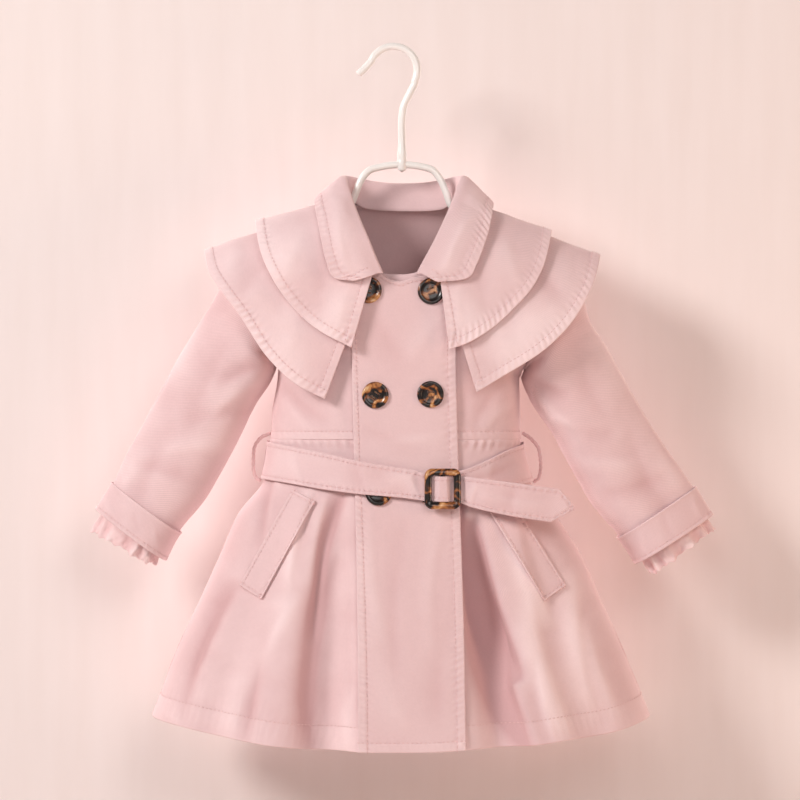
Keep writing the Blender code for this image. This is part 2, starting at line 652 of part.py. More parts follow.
def make_collar():
    rows = np.asarray(COLLAR)
    foot, fold = rows[:, 1:4], rows[:, 4:7]
    edge = np.array([(x, side * depth(x, z, side, "collar") if side else 0.0, z)
                     for side, x, z in zip(rows[:, 0], rows[:, 7], rows[:, 8])])
    stations = 41
    grid = []
    for k in range(stations):
        at = k / (stations - 1) * (len(rows) - 1)
        steps = np.arange(len(rows))
        stand, top, low = (np.array([smooth(steps, part[:, axis], at) for axis in range(3)])
                           for part in (foot, fold, edge))
        outwards = low - top
        outwards[2] = 0.0
        outwards /= np.linalg.norm(outwards)
        turn = outwards * FOLD_HALF_TURN
        line = [stand, mix(stand, top, 0.5), top - FOLD_RISE]
        line += [top + turn * 0.35 + FOLD_RISE, top + turn * 1.5 + FOLD_RISE]
        start = top + turn * 2 - FOLD_RISE
        for q in (0.0, 0.16, 0.36, 0.58, 0.8, 1.0):
            place = mix(start, low, q)
            side = FRONT if place[1] < 0 else BACK
            least = depth(place[0], place[2], side, "collar") - HALF_GAP
            if place[2] < ridge("collar", place[0]) and abs(place[1]) < least:
                place[1] = side * least
            line.append(place)
        grid.append(line)
    grid = np.array(grid)
    inner = thinner(grid, -CLOTH)
    wall("collar", grid, inner)


def sleeve_ring(side_name, at, inset, sides):
    """A closed section of a sleeve at a row of its table."""
    rows = np.asarray(SLEEVES[side_name], float)
    steps = np.arange(len(rows))
    outer_x, outer_z, inner_x, inner_z, half = (smooth(steps, rows[:, k], at) for k in range(5))
    outer, low = np.array([outer_x, outer_z]), np.array([inner_x, inner_z])
    across = low - outer
    across /= np.linalg.norm(across)
    away = np.array([across[1], -across[0]]) * (1 if side_name == "left" else -1)
    seam = max(0.0, 1 - at) * SEAM_GAP * 1.5
    outer, low = outer + across * inset + away * seam, low - across * inset + away * seam
    ring = []
    form_share = max(0.0, 1 - at / 1.5) ** 2
    for k in range(sides):
        turn = 2 * math.pi * k / sides
        place = mix(outer, low, (1 - math.cos(turn)) / 2)
        lift = math.sin(turn)
        side = FRONT if lift > 0 else BACK
        plain = (half - inset) * abs(lift) ** 0.9
        form = depth(place[0], place[1], side, inset=inset) if abs(lift) > 0.01 else 0.0
        ring.append((place[0], side * mix(plain, form, form_share), place[1]))
    return ring


def sleeve_wall(name, side_name, stations, outset, thick, look, sides=18):
    """A tube round a stretch of a sleeve, at some distance out from the sleeve's face."""
    grids = []
    for inset in (-outset, thick - outset):
        rings = [sleeve_ring(side_name, at, inset, sides) for at in stations]
        grid = np.array(rings).transpose(1, 0, 2)
        grids.append(grid)
    return wall(name, *grids, look=look, closed=True)


def make_sleeves():
    last = 8.0
    row_length = 25.0
    for side_name in ("left", "right"):
        sleeve_end = last - CUFF_DROP / row_length
        stations = [0.0, 0.35, 0.75, 1.3, 2.1, 3.0, 4.0, 5.5, 7.0, 7.5, sleeve_end]
        sleeve_wall(f"sleeve_{side_name}", side_name, stations, 0.0, CLOTH, COTTON)
        sleeve_wall(f"cuff_{side_name}", side_name, [7.0, 7.5, last], CUFF_GAP + CLOTH, CLOTH, COTTON)
        frill = [last - FRILL_RISE / row_length, last - 0.1, last + 0.2, last + FRILL_DROP / row_length]
        frill_wall(side_name, frill)


def frill_wall(side_name, stations):
    """The crinkled frill: it hangs inside the cuff and reaches past its edge."""
    rows = np.asarray(SLEEVES[side_name], float)
    step = rows[-1] - rows[-2]
    sides = 44
    grids = []
    for inset in (CLOTH + 2.3, CLOTH + 3.5):
        rings = []
        for at in stations:
            beyond = max(at - (len(rows) - 1), 0.0)
            ring = np.array(sleeve_ring(side_name, min(at, len(rows) - 1.0), inset, sides))
            ring[:, 0] += beyond * (step[0] + step[2]) / 2
            ring[:, 2] += beyond * (step[1] + step[3]) / 2
            rings.append(ring)
        grid = np.array(rings).transpose(1, 0, 2)
        centre = grid.mean(axis=0, keepdims=True)
        turns = np.arange(sides) * 2 * math.pi / sides
        reach = (grid - centre) / np.linalg.norm(grid - centre, axis=2, keepdims=True)
        grown = np.linspace(0.25, 1.0, len(stations))
        ripple = np.sin(FRILL_WAVES * turns) + FRILL_SLOW_SHARE * np.sin(FRILL_SLOW_WAVES * turns + 1)
        grid = grid + reach * (ripple[:, None] * grown[None, :] * FRILL_WAVE)[:, :, None]
        grids.append(grid)
    wall(f"frill_{side_name}", *grids, look=FRILL, closed=True)


def belt_face(table, xs, side, inset, rows=4):
    """A belt's face over the body, along a list of places across it. Past 100 mm it turns round the side."""
    rows_table = np.asarray(table, float)
    low, high = torso("left", BELT_Z), torso("right", BELT_Z)
    middle, half = (low + high) / 2, (high - low) / 2
    grid = []
    for x in xs:
        top, bottom, off = (smooth(rows_table[:, 0], rows_table[:, k], x) for k in (1, 2, 3))
        share = min(max((x - middle) / half, -1.0), 1.0)
        line = []
        for j in range(rows):
            z = mix(bottom, top, j / (rows - 1))
            out = off + CLOTH - inset
            left, right = torso("left", z) - out, torso("right", z) + out
            shared_x = mix(left, right, (share + 1) / 2)
            line.append(face_point(mix(x, shared_x, abs(share) ** 3), z, side, off=out))
        grid.append(line)
    return grid


def make_belt():
    side_xs = [-108, -99.8, -98.2, -94.0, -86.0, -76.0]
    front_xs = side_xs + [-62, -45, -33, -20, -6, 8, 18, 24.5]
    front_xs += [28, 31, 33.4, 35.6, 38.6, 41.6, 43.8, 46.2, 49, 54.4]
    grids = []
    for inset in (0.0, CLOTH):
        grid = belt_face(STRAP, front_xs, FRONT, inset)
        for share in np.linspace(0, 1, 10):
            x_top, top, x_bottom, bottom, y = path(TAIL, share)
            line = []
            for j in range(4):
                t = j / 3
                line.append((mix(x_bottom, x_top, t), y + inset, mix(bottom, top, t)))
            grid.append(line)
        grids.append(grid)
    wall("belt_strap", *grids)
    right_xs = [44.0, 50, 58, 67, 76, 85, 93, 99, 102.6, 104, 112]
    wall("belt_right", *[belt_face(BELT_RIGHT, right_xs, FRONT, inset) for inset in (0.0, CLOTH)])
    back_xs = side_xs + [-50, -25, 5, 35, 58, 76, 88, 97, 102.4, 104, 112]
    wall("belt_back", *[belt_face(BELT_BACK, back_xs, BACK, inset) for inset in (0.0, CLOTH)])


def rounded_rectangle(x_span, z_span, radius, count):
    """Places round a rectangle with round corners, with the same number at each corner."""
    places = []
    corners = ((1, 1, 0), (0, 1, 90), (0, 0, 180), (1, 0, 270))
    for right, up, start in corners:
        centre_x = x_span[right] + (-radius if right else radius)
        centre_z = z_span[up] + (-radius if up else radius)
        for k in range(count):
            turn = math.radians(start + 90 * k / (count - 1))
            places.append((centre_x + radius * math.cos(turn), centre_z + radius * math.sin(turn)))
    return places


def make_buckle():
    half = BUCKLE_BAR / 2
    section = ((0.0, 0.0), (0.0, 0.55), (0.16, 0.92), (0.5, 1.0), (0.84, 0.92), (1.0, 0.55), (1.0, 0.0))
    grid = []
    for across, up in section:
        inset = across * BUCKLE_BAR
        x_span = (BUCKLE_X[0] + inset, BUCKLE_X[1] - inset)
        z_span = (BUCKLE_Z[0] + inset, BUCKLE_Z[1] - inset)
        radius = mix(6.0, 2.2, across)
        ring = rounded_rectangle(x_span, z_span, radius, 5)
        grid.append([face_point(x, z, FRONT, off=BUCKLE_OFF + up * BUCKLE_THICK) for x, z in ring])
    count = len(grid[0])
    points = [p for line in grid for p in line]
    faces = []
    for i in range(len(grid)):
        after = (i + 1) % len(grid)
        for j in range(count):
            nxt = (j + 1) % count
            faces.append((i * count + j, after * count + j, after * count + nxt, i * count + nxt))
    frame = add_object("buckle", points, faces, SHELL)
    middle = (BUCKLE_X[0] + BUCKLE_X[1]) / 2
    xs = (middle - CENTRE_BAR_WIDTH / 2, middle + CENTRE_BAR_WIDTH / 2)
    zs = (BUCKLE_Z[0] + half, BUCKLE_Z[1] - half)
    corners = [face_point(x, z, FRONT, off=off) for off in CENTRE_BAR_OFF for z in zs for x in xs]
    box = ((0, 1, 3, 2), (4, 6, 7, 5), (0, 4, 5, 1), (2, 3, 7, 6), (0, 2, 6, 4), (1, 5, 7, 3))
    join(frame, add_object("centre_bar_guide", corners, box, SHELL))


def make_buttons():
    profile = ((0.0, 0.0), (0.92, 0.0), (1.0, 0.35), (0.98, 0.8), (0.88, 1.0), (0.74, 0.92), (0.66, 0.7),
               (0.0, 0.66))
    sides = 16
    for number, (x, z) in enumerate(BUTTONS, start=1):
        def seat(step_x, step_z):
            return np.array(face_point(x + step_x, z + step_z, FRONT, off=BUTTON_OFF))

        centre = seat(0, 0)
        right = seat(BUTTON_SPAN, 0) - seat(-BUTTON_SPAN, 0)
        up = seat(0, BUTTON_SPAN) - seat(0, -BUTTON_SPAN)
        right /= np.linalg.norm(right)
        out = np.cross(up, right)
        out *= -np.sign(out[1]) / np.linalg.norm(out)
        up = np.cross(right, out)
        points, faces = [centre + out * profile[0][1] * BUTTON_THICK], []
        for radius, height in profile[1:-1]:
            for k in range(sides):
                turn = 2 * math.pi * k / sides
                spread = right * math.cos(turn) + up * math.sin(turn)
                points.append(centre + spread * radius * BUTTON_RADIUS + out * height * BUTTON_THICK)
        points.append(centre + out * profile[-1][1] * BUTTON_THICK)
        rings = len(profile) - 2
        for k in range(sides):
            after = (k + 1) % sides
            faces.append((0, 1 + after, 1 + k))
            for i in range(rings - 1):
                a, b = 1 + i * sides, 1 + (i + 1) * sides
                faces.append((a + k, a + after, b + after, b + k))
            top = 1 + (rings - 1) * sides
            faces.append((top + k, top + after, len(points) - 1))
        add_object(f"button_{number}", points, faces, SHELL)


def make_pockets():
    for side_name, corners in POCKETS.items():
        inner_top, outer_top, outer_low, inner_low = (np.array(c) for c in corners)
        grids = []
        for inset in (0.0, CLOTH):
            grid = []
            for u in np.linspace(0, 1, 4):
                line = []
                for v in np.linspace(0, 1, 9):
                    x, z = mix(mix(inner_low, outer_low, u), mix(inner_top, outer_top, u), v)
                    line.append(face_point(x, z, FRONT, off=CLOTH + POCKET_GAP - inset, folded=True))
                grid.append(line)
            grids.append(grid)
        wall(f"pocket_{side_name}", *grids)


def make_loops():
    for side_name, places in LOOPS.items():
        line = [path(places, s) for s in np.linspace(0, 1, 14)]
        tube(f"loop_{side_name}", [(x, 0.0, z) for x, z in line], [LOOP_RADIUS] * 14, 6, COTTON)


def make_hanger():
    hook = [np.array([HOOK_TIP[0], HOOK_TIP[1]]), np.array([-23.2, -14.2])]
    for degrees in np.linspace(155, -25, 13):
        turn = math.radians(degrees)
        hook.append(np.array([HOOK_RADIUS * math.cos(turn), HOOK_CENTRE_Z + HOOK_RADIUS * math.sin(turn)]))
    hook += [path(STEM, s) for s in np.linspace(0, 1, 10)[1:]]
    radii = []
    for x, z in hook:
        wider = max(0.0, FERRULE_TOP_Z - z) / 14.0 if abs(x) < 10 else 0.0
        radii.append(mix(WIRE_RADIUS, FERRULE_RADIUS, min(wider, 1.0)))
    stem = tube("hook_guide", [(x, 0.0, z) for x, z in hook], radii, 8, WHITE)

    arms = []
    for points, end in ((ARM_LEFT, ARM_ENDS[0]), (ARM_RIGHT, ARM_ENDS[1])):
        bend = [path(points, s) for s in np.linspace(0, 1, 11)]
        start_x = mix(points[-1][0], end, 0.12)
        run = [np.array([x, ridge("bodice", x) - ARM_DROP]) for x in np.linspace(start_x, end, 7)]
        arms.append(bend + run)
    line = arms[0][::-1] + [np.array([6.8, -91.6])] + arms[1]
    radii = [WIRE_RADIUS] * len(line)
    radii[0] = radii[-1] = WIRE_RADIUS * 0.8
    hanger = tube("hanger", [(x, 0.0, z) for x, z in line], radii, 8, WHITE)
    join(hanger, stem)


def main():
    for thing in list(bpy.data.objects):
        bpy.data.objects.remove(thing, do_unlink=True)
    make_hanger()
    make_bodice()
    make_front_panels()
    make_skirt()
    make_capes()
    make_collar()
    make_sleeves()
    make_belt()
    make_buckle()
    make_buttons()
    make_pockets()
    make_loops()


main()
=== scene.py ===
"""Looks of a small child's belted cotton coat that hangs on a white coated wire hanger.

Sizes are millimetres and become metres when a mesh is made. +X is the right of the front view, +Y points away
from the viewer, +Z is up, and the origin is the inside top of the hook. Every cloth piece is a thin sheet laid on
the form of its solid: a place (x, z) of the front view and a depth before or behind the hanger's plane. Hems,
puckers and creases are soft heights along the sheet's own normal.
"""

import math

import bmesh
import bpy
import numpy as np
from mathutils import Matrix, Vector


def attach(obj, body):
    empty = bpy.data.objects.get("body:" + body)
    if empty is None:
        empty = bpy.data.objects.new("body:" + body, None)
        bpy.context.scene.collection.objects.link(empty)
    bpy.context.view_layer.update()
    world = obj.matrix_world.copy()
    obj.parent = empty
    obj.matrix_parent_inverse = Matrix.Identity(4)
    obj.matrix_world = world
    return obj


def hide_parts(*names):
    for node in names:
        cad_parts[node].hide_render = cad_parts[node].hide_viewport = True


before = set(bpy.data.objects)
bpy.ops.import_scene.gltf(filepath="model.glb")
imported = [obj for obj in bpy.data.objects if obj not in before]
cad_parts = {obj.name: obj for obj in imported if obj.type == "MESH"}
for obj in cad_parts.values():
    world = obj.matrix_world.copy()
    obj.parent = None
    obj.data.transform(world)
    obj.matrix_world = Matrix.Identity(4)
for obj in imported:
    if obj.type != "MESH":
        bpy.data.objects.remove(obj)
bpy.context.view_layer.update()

CLOTH = 1.6
SEAM_GAP = 0.3
HALF_GAP = SEAM_GAP / 2
BODY_MIDDLE = 5.0
SECTION_POWER = 2.3
RIDGE_ROUND_FRONT = 60.0
RIDGE_ROUND_BACK = 40.0
FRONT, BACK = -1.0, 1.0

# The body's sections: its side edges in the front view, and how deep it is before and behind the hanger.
TORSO_COLUMNS = ("z", "left", "right", "front", "back")
TORSO = (
    (-565, -210, 222, 94, 62),
    (-531, -193, 205, 88, 58),
    (-480, -174, 184, 77, 54),
    (-440, -155, 166, 68, 50),
    (-404, -139, 150, 61, 46),
    (-372, -125, 130, 56, 43),
    (-342, -103, 108, 51, 40),
    (-312, -98, 101, 46, 37),
    (-290, -97, 101, 44, 36),
    (-262, -92.5, 100.8, 43, 35),
    (-250, -92, 111, 43, 35),
    (-238, -112, 134, 43, 35),
    (-222, -146, 160, 42, 34),
    (-190, -175, 188, 40, 33),
    (-115, -186, 198, 34, 32),
)

# The top edge over the shoulders of each layer, from the left to the right.
RIDGE_COLUMNS = ("x", "bodice", "lower", "upper", "collar")
RIDGE = (
    (-165, -180.0, -167.0, -161.0, -155.0),
    (-150, -171.0, -161.5, -154.0, -149.0),
    (-128, -160.0, -152.5, -146.0, -141.0),
    (-109, -149.5, -145.5, -138.5, -134.0),
    (-62, -128.5, -126.0, -123.6, -121.0),
    (-38, -121.0, -118.4, -116.0, -113.0),
    (-20, -118.0, -117.0, -115.5, -113.0),
    (6, -117.0, -116.5, -115.0, -113.0),
    (32, -118.0, -117.5, -116.0, -113.5),
    (50, -122.5, -120.0, -117.5, -115.0),
    (78, -132.5, -130.0, -127.2, -124.4),
    (126, -154.5, -149.5, -144.6, -140.0),
    (144, -164.0, -156.5, -151.0, -147.0),
    (165, -176.0, -164.0, -158.0, -153.0),
    (180, -185.0, -171.0, -166.0, -160.0),
)

# How far each layer's outer face stands off the bodice.
LAYER_OUT = {"bodice": 0.0, "panel": 2.5, "lower": 6.8, "upper": 10.0, "collar": 12.8}
CAPE_HALF_WIDTH = 215.0

SHOULDER_LEFT, UNDERARM_LEFT = (-128.0, -160.0), -250.0
SHOULDER_RIGHT, UNDERARM_RIGHT = (143.0, -163.5), -262.0
WAIST_Z = -311.0
UNDERARM_SHARE = 0.4

# Hem height across the front view.
SIDE_HEM_Z, MIDDLE_HEM_Z = -531.0, -551.0
HEM_COLUMNS = ("x", "z")
HEM = ((-193, -531), (-167, -535), (-137, -540.5), (-78, -548.5), (-44, -551.5), (20, -551.5),
       (55, -550), (88, -548.5), (135, -543.5), (160, -541), (205, -531))

# Edges of the two front panels across the height.
PANEL_COLUMNS = ("z", "left", "right")
PANEL = ((-552, -26.8, 55.8), (-470, -27.4, 54.8), (-400, -28.6, 53.0), (-330, -30.6, 50.8),
         (-240, -32.6, 48.8), (-140, -33.2, 48.4))
UNDERLAP_LEFT, UNDERLAP_RIGHT = -21.0, 45.0
BODICE_TUCK = 2.8

# Neck edges in the front view, from the shoulder down or from left to right.
NECK_LEFT = ((-38.0, -121.0), (-37.2, -132.0), (-34.4, -142.0), (-30.0, -150.0))
NECK_RIGHT = ((50.0, -122.5), (48.8, -132.0), (45.3, -139.0))
PANEL_TOP = ((-33.2, -146.0), (-27.0, -160.0), (-19.0, -172.5), (-9.5, -181.0), (0.0, -186.0),
             (6.0, -187.0), (13.0, -184.5), (21.0, -183.0), (35.0, -181.5), (48.4, -181.0))
UNDERLAP_TOP = ((-21.0, -178.5), (-10.0, -180.4), (6.0, -181.4), (18.0, -179.8), (26.0, -173.0),
                (35.0, -159.0), (45.0, -139.5))
BACK_NECK = ((-38.0, -121.0), (-30.0, -123.4), (-12.0, -124.4), (6.0, -124.6), (24.0, -124.6),
             (42.0, -124.2), (50.0, -122.5))
NECK_SHARE = 0.3
NECK_CORNER_STEPS = (0.0, 0.7, 2.5)

# Skirt folds: side, x at the waist and the hem, half width at both, depth at the hem with a minus for a ridge.
FOLDS = (
    (FRONT, -41, -50, 6, 19, 17),
    (FRONT, -62, -94, 13, 21, -5),
    (FRONT, -84, -142, 13, 17, 6),
    (FRONT, 58, 82, 5, 15, 13),
    (FRONT, 74, 120, 13, 20, -4),
    (FRONT, 90, 158, 13, 17, 6),
    (BACK, -72, -142, 10, 20, 8),
    (BACK, -38, -78, 10, 21, 11),
    (BACK, -10, -22, 8, 18, 7),
    (BACK, 26, 48, 9, 20, 10),
    (BACK, 54, 98, 10, 20, 9),
    (BACK, 82, 160, 9, 18, 7),
)
FOLD_START_Z, FOLD_LENGTH, FOLD_SEAM_RAMP = -350.0, 190.0, 11.0

# Capes: neck edge, then outer edge, both from the front opening to the shoulder ridge.
CAPES = {
    "lower": {
        "neck_left": ((-17.0, -181.0), (-22.0, -174.0), (-29.0, -160.0), (-36.5, -142.0), (-40.0, -129.0),
                      (-41.0, -119.5)),
        "edge_left": ((-54.0, -279.0), (-76.0, -267.4), (-98.6, -246.2), (-121.3, -212.4), (-135.7, -193.4),
                      (-145.3, -178.6), (-150.4, -161.7)),
        "neck_right": ((36.0, -178.0), (38.5, -170.0), (42.5, -157.0), (47.5, -141.0), (51.5, -129.0),
                       (53.0, -121.0)),
        "edge_right": ((65.5, -273.6), (83.4, -262.5), (116.5, -241.4), (136.0, -223.3), (149.8, -203.6),
                       (158.5, -186.0), (165.0, -164.0)),
        "neck_back": ((-41.0, -119.5), (-30.0, -124.6), (6.0, -126.0), (42.0, -125.6), (53.0, -121.0)),
        "edge_back": ((-150.4, -161.7), (-141.0, -190.0), (-115.0, -222.0), (-75.0, -247.0),
                      (-30.0, -260.0), (8.0, -263.0), (46.0, -260.0), (91.0, -247.0), (131.0, -222.0),
                      (157.0, -192.0), (165.0, -164.0)),
    },
    "upper": {
        "neck_left": ((-16.5, -181.0), (-22.0, -174.0), (-29.0, -160.0), (-36.5, -142.0), (-40.0, -129.0),
                      (-41.0, -117.0)),
        "edge_left": ((-33.0, -238.5), (-53.7, -228.1), (-69.1, -216.8), (-84.6, -199.8), (-94.6, -184.6),
                      (-104.0, -163.4), (-109.5, -138.7)),
        "neck_right": ((36.0, -178.0), (38.5, -170.0), (42.5, -157.0), (47.5, -141.0), (51.5, -129.0),
                       (53.0, -118.5)),
        "edge_right": ((44.0, -240.0), (57.9, -235.2), (77.3, -223.4), (95.4, -206.9), (108.9, -191.7),
                       (119.0, -172.0), (126.0, -144.6)),
        "neck_back": ((-41.0, -117.0), (-30.0, -124.6), (6.0, -126.0), (42.0, -125.6), (53.0, -118.5)),
        "edge_back": ((-109.5, -138.7), (-104.0, -165.0), (-85.0, -195.0), (-55.0, -214.0), (-15.0, -223.0),
                      (8.0, -224.0), (32.0, -223.0), (72.0, -214.0), (102.0, -195.0), (120.0, -168.0),
                      (126.0, -144.6)),
    },
}

# Collar, left front round to right front: side, x, y, z of the stand's foot, x, y, z of the fold's top, and
# x, z of the fall's edge.
COLLAR = (
    (FRONT, -12.5, -44, -176.5, -9, -50, -180.5, -31.3, -187.3),
    (FRONT, -18, -40, -168, -14, -49, -169, -46.5, -184),
    (FRONT, -25, -34, -153, -20, -46, -154, -52.5, -171),
    (FRONT, -31, -25, -139, -26, -38, -140, -56.5, -154),
    (FRONT, -34.5, -15, -128, -31, -26, -127, -59.5, -139),
    (FRONT, -36.8, -7, -121.5, -36, -12, -112, -61.5, -128),
    (0.0, -37.2, 0, -118.5, -38.5, 0, -102, -62, -120.9),
    (BACK, -34, 8.5, -120.0, -35, 10, -101.5, -60, -134),
    (BACK, -22, 14.5, -126.2, -22, 17.5, -104, -46, -153),
    (BACK, -5, 17.6, -127.6, -5, 21, -106, -22, -162),
    (BACK, 8, 18, -128.0, 8, 21.5, -106.5, 8, -164),
    (BACK, 22, 17.6, -128.0, 22, 21, -106, 38, -162),
    (BACK, 38, 14, -127.0, 39, 17, -104, 62, -153),
    (BACK, 48, 7.5, -121.8, 51, 9, -101.5, 76, -138),
    (0.0, 49.6, 0, -120.0, 54.5, 0, -102, 78.6, -124.2),
    (FRONT, 48.8, -8, -123.5, 51.5, -12, -111, 77.5, -133),
    (FRONT, 46.2, -16, -130, 46.5, -25, -125, 75.5, -145),
    (FRONT, 41.5, -26, -141, 40.5, -37, -139, 71.5, -158),
    (FRONT, 35, -35, -155, 33, -45, -155, 66, -172),
    (FRONT, 27.5, -41, -169, 25.5, -49, -169, 58, -184.5),
    (FRONT, 22, -44, -176.5, 19.4, -50, -181, 35.1, -188),
)
FOLD_HALF_TURN, FOLD_RISE = 2.3, np.array([0.0, 0.0, 0.9])

# Sleeves, from the armhole to the cuff's edge: x, z of the outer edge, x, z of the inner edge, half depth.
SLEEVES = {
    "left": ((-128, -160, -92, -250, 31), (-140, -192, -94.8, -257, 29), (-152, -213, -100, -268, 28),
             (-163, -233.6, -107.7, -280, 27), (-180, -263, -120, -304, 26),
             (-198, -296, -134.5, -332, 25), (-212, -321, -150, -359, 24),
             (-223.8, -347, -171.4, -385, 22), (-236.4, -368.4, -183.6, -406.6, 22)),
    "right": ((143, -163.5, 101, -262, 31), (150, -191, 103.8, -269, 29), (158.5, -220, 108, -278, 28),
              (170.8, -240, 115, -289, 27), (184, -264, 128, -308, 26), (200, -291, 141, -333, 25),
              (220, -321, 158, -362, 24), (240, -350.4, 180.8, -388.6, 22),
              (253.6, -372.6, 194.8, -409.4, 22)),
}
CUFF_GAP, CUFF_DROP = 0.7, 2.5
FRILL_RISE, FRILL_DROP = 12.0, 12.0
FRILL_WAVES, FRILL_SLOW_WAVES, FRILL_WAVE, FRILL_SLOW_SHARE = 11, 6, 1.5, 0.35

BELT_Z = -328.0
# Belt over the body: x, z of the top and of the bottom edge, and how far its inner face stands off.
STRAP = (
    (-108, -312.0, -341.0, 1.4), (-83, -316.2, -344.6, 2.0), (-52, -322.3, -350.0, 3.4),
    (-24, -328.6, -353.4, 5.3), (5, -333.2, -355.8, 5.6), (20, -336.0, -357.8, 6.0),
    (28, -339.2, -358.8, 6.7), (31, -339.8, -359.0, 7.3), (35.6, -340.0, -359.0, 10.8),
    (41.0, -340.0, -359.0, 10.8), (45.4, -340.0, -359.0, 7.2), (49, -340.0, -359.2, 6.8),
    (54.4, -340.0, -361.6, 6.8),
)
# The tail beyond the buckle: x, z of its top edge, x, z of its bottom edge, and y.
TAIL = ((60, -340.5, 59.0, -363.0, -58.6), (76, -342.6, 73, -366.5, -60.5),
        (104, -346.4, 99, -371.6, -59.5), (128, -349.6, 120, -375.4, -57.5),
        (134, -352.6, 127, -375.9, -56.8), (141.4, -364.0, 138, -370.4, -56.0))
BELT_RIGHT = ((44.0, -337.0, -361.5, 3.6), (56, -334.6, -358.5, 3.4), (72, -328.0, -353.5, 2.6),
              (92, -319.0, -347.4, 1.8), (112, -313.0, -342.0, 1.4))
BELT_BACK = ((-108, -312.0, -341.0, 1.4), (-60, -316.0, -344.0, 1.4), (5, -318.0, -345.5, 1.4),
             (65, -316.5, -344.5, 1.4), (112, -313.0, -342.0, 1.4))

BUCKLE_X, BUCKLE_Z = (24.3, 52.9), (-365.2, -333.5)
BUCKLE_BAR, BUCKLE_THICK, BUCKLE_OFF = 5.7, 3.2, 9.4
CENTRE_BAR_WIDTH, CENTRE_BAR_OFF = 3.6, (8.0, 10.0)

BUTTON_RADIUS, BUTTON_THICK, BUTTON_OFF, BUTTON_SPAN = 10.5, 2.2, 2.85, 4.0
BUTTONS = ((-19.6, -193.6), (29.6, -194.4), (-14.2, -276.2), (29.1, -275.6), (-11.5, -352.4),
           (29.8, -352.0))

# Pocket welts: corners in the front view, top at the centre side, going round.
POCKETS = {
    "left": ((-61.7, -359.3), (-79.7, -350.4), (-121.2, -425.2), (-103.5, -435.4)),
    "right": ((73.5, -364.0), (91.4, -355.4), (135.3, -425.5), (118.6, -437.0)),
}

POCKET_GAP = 0.9

LOOP_RADIUS = 1.1
LOOPS = {
    "left": ((-98.6, -306.5), (-106.5, -310.5), (-111.6, -319.5), (-112.2, -333.0), (-110.4, -341.5),
             (-106.6, -344.4)),
    "right": ((103.3, -306.5), (110.0, -311.0), (116.4, -320.0), (117.8, -333.0), (116.2, -342.2),
              (112.2, -345.4)),
}

WIRE_RADIUS = 2.9
HOOK_RADIUS, HOOK_CENTRE_Z = 19.1, -16.2
HOOK_TIP = (-27.6, -19.2)
STEM = ((17.6, -26.0), (12.3, -36.2), (7.6, -47.4), (6.5, -60.8), (6.8, -73.6), (6.8, -91.0))
FERRULE_TOP_Z, FERRULE_RADIUS = -74.0, 3.7
ARM_LEFT = ((-7.0, -92.8), (-18.0, -95.6), (-25.6, -103.5), (-30.0, -113.5), (-33.4, -122.0),
            (-39.5, -127.6))
ARM_RIGHT = ((20.0, -92.8), (30.0, -95.4), (37.4, -103.5), (41.8, -113.0), (45.6, -123.6),
             (51.5, -130.2))
ARM_ENDS = (-100.0, 112.0)
ARM_DROP = CLOTH + 0.8 + WIRE_RADIUS

# Creases laid one by one: x, z at both ends, half width and height, with a minus for a trough.
BODICE_CREASES = {
    "left": ((-92, -262, -50, -300, 5, -0.9), (-88, -275, -60, -306, 4, 0.8), (-45, -250, -40, -306, 5, 0.5)),
    "right": ((92, -262, 62, -304, 5, -0.8), (98, -280, 70, -306, 4, 0.8), (60, -262, 57, -306, 5, -0.5)),
}
BACK_BODICE_CREASES = ((-85, -262, -30, -300, 7, -1.0), (88, -265, 35, -302, 7, -1.1), (-20, -235, -12, -306, 6, 0.7),
                       (34, -240, 26, -306, 6, -0.6))
PANEL_CREASES = (
    (-20, -205, 20, -262, 9, -0.7), (42, -208, 6, -262, 8, 0.6), (-24, -300, 30, -322, 6, -0.7),
    (-20, -312, 44, -306, 5, 0.6), (-18, -365, -6, -470, 6, 0.8), (10, -370, 4, -520, 8, -0.8),
    (38, -368, 30, -480, 6, 0.7), (-8, -420, 12, -548, 9, 0.6), (44, -450, 36, -545, 7, -0.6),
)
SKIRT_CREASES = {
    ("left", "front"): (
        (-37, -346, -60, -470, 6, -5.0), (-44, -400, -64, -560, 8, -4.0), (-62, -345, -82, -430, 5, 2.4),
        (-52, -352, -62, -450, 4, 1.6), (-72, -430, -128, -546, 9, 3.0), (-122, -420, -170, -530, 9, -4.0),
        (-92, -330, -104, -400, 4, -1.6), (-88, -440, -116, -552, 8, -3.0), (-98, -320, -88, -352, 3, 1.2),
        (-140, -440, -172, -535, 7, 2.2), (-30, -500, -34, -556, 5, 1.5),
    ),
    ("right", "front"): (
        (54, -344, 64, -420, 4, -5.0), (58, -372, 98, -500, 10, -15.0), (68, -430, 108, -560, 10, -7.0),
        (94, -360, 124, -460, 8, 4.0), (104, -430, 140, -552, 10, 3.6), (142, -410, 158, -540, 9, 2.6),
        (96, -330, 106, -380, 4, -1.6), (150, -450, 180, -535, 7, 2.0), (108, -480, 122, -552, 6, -2.0),
    ),
    ("left", "back"): (
        (-20, -330, -30, -430, 5, -1.8), (-50, -325, -78, -450, 5, -1.6), (-34, -400, -50, -545, 7, 1.5),
        (-88, -340, -130, -470, 6, 1.4), (-110, -440, -150, -535, 7, -1.2),
    ),
    ("right", "back"): (
        (28, -330, 40, -430, 5, -1.7), (62, -325, 88, -450, 5, 1.6), (48, -400, 70, -545, 7, -1.5),
        (90, -345, 130, -470, 6, -1.3), (118, -440, 160, -535, 7, 1.2),
    ),
}
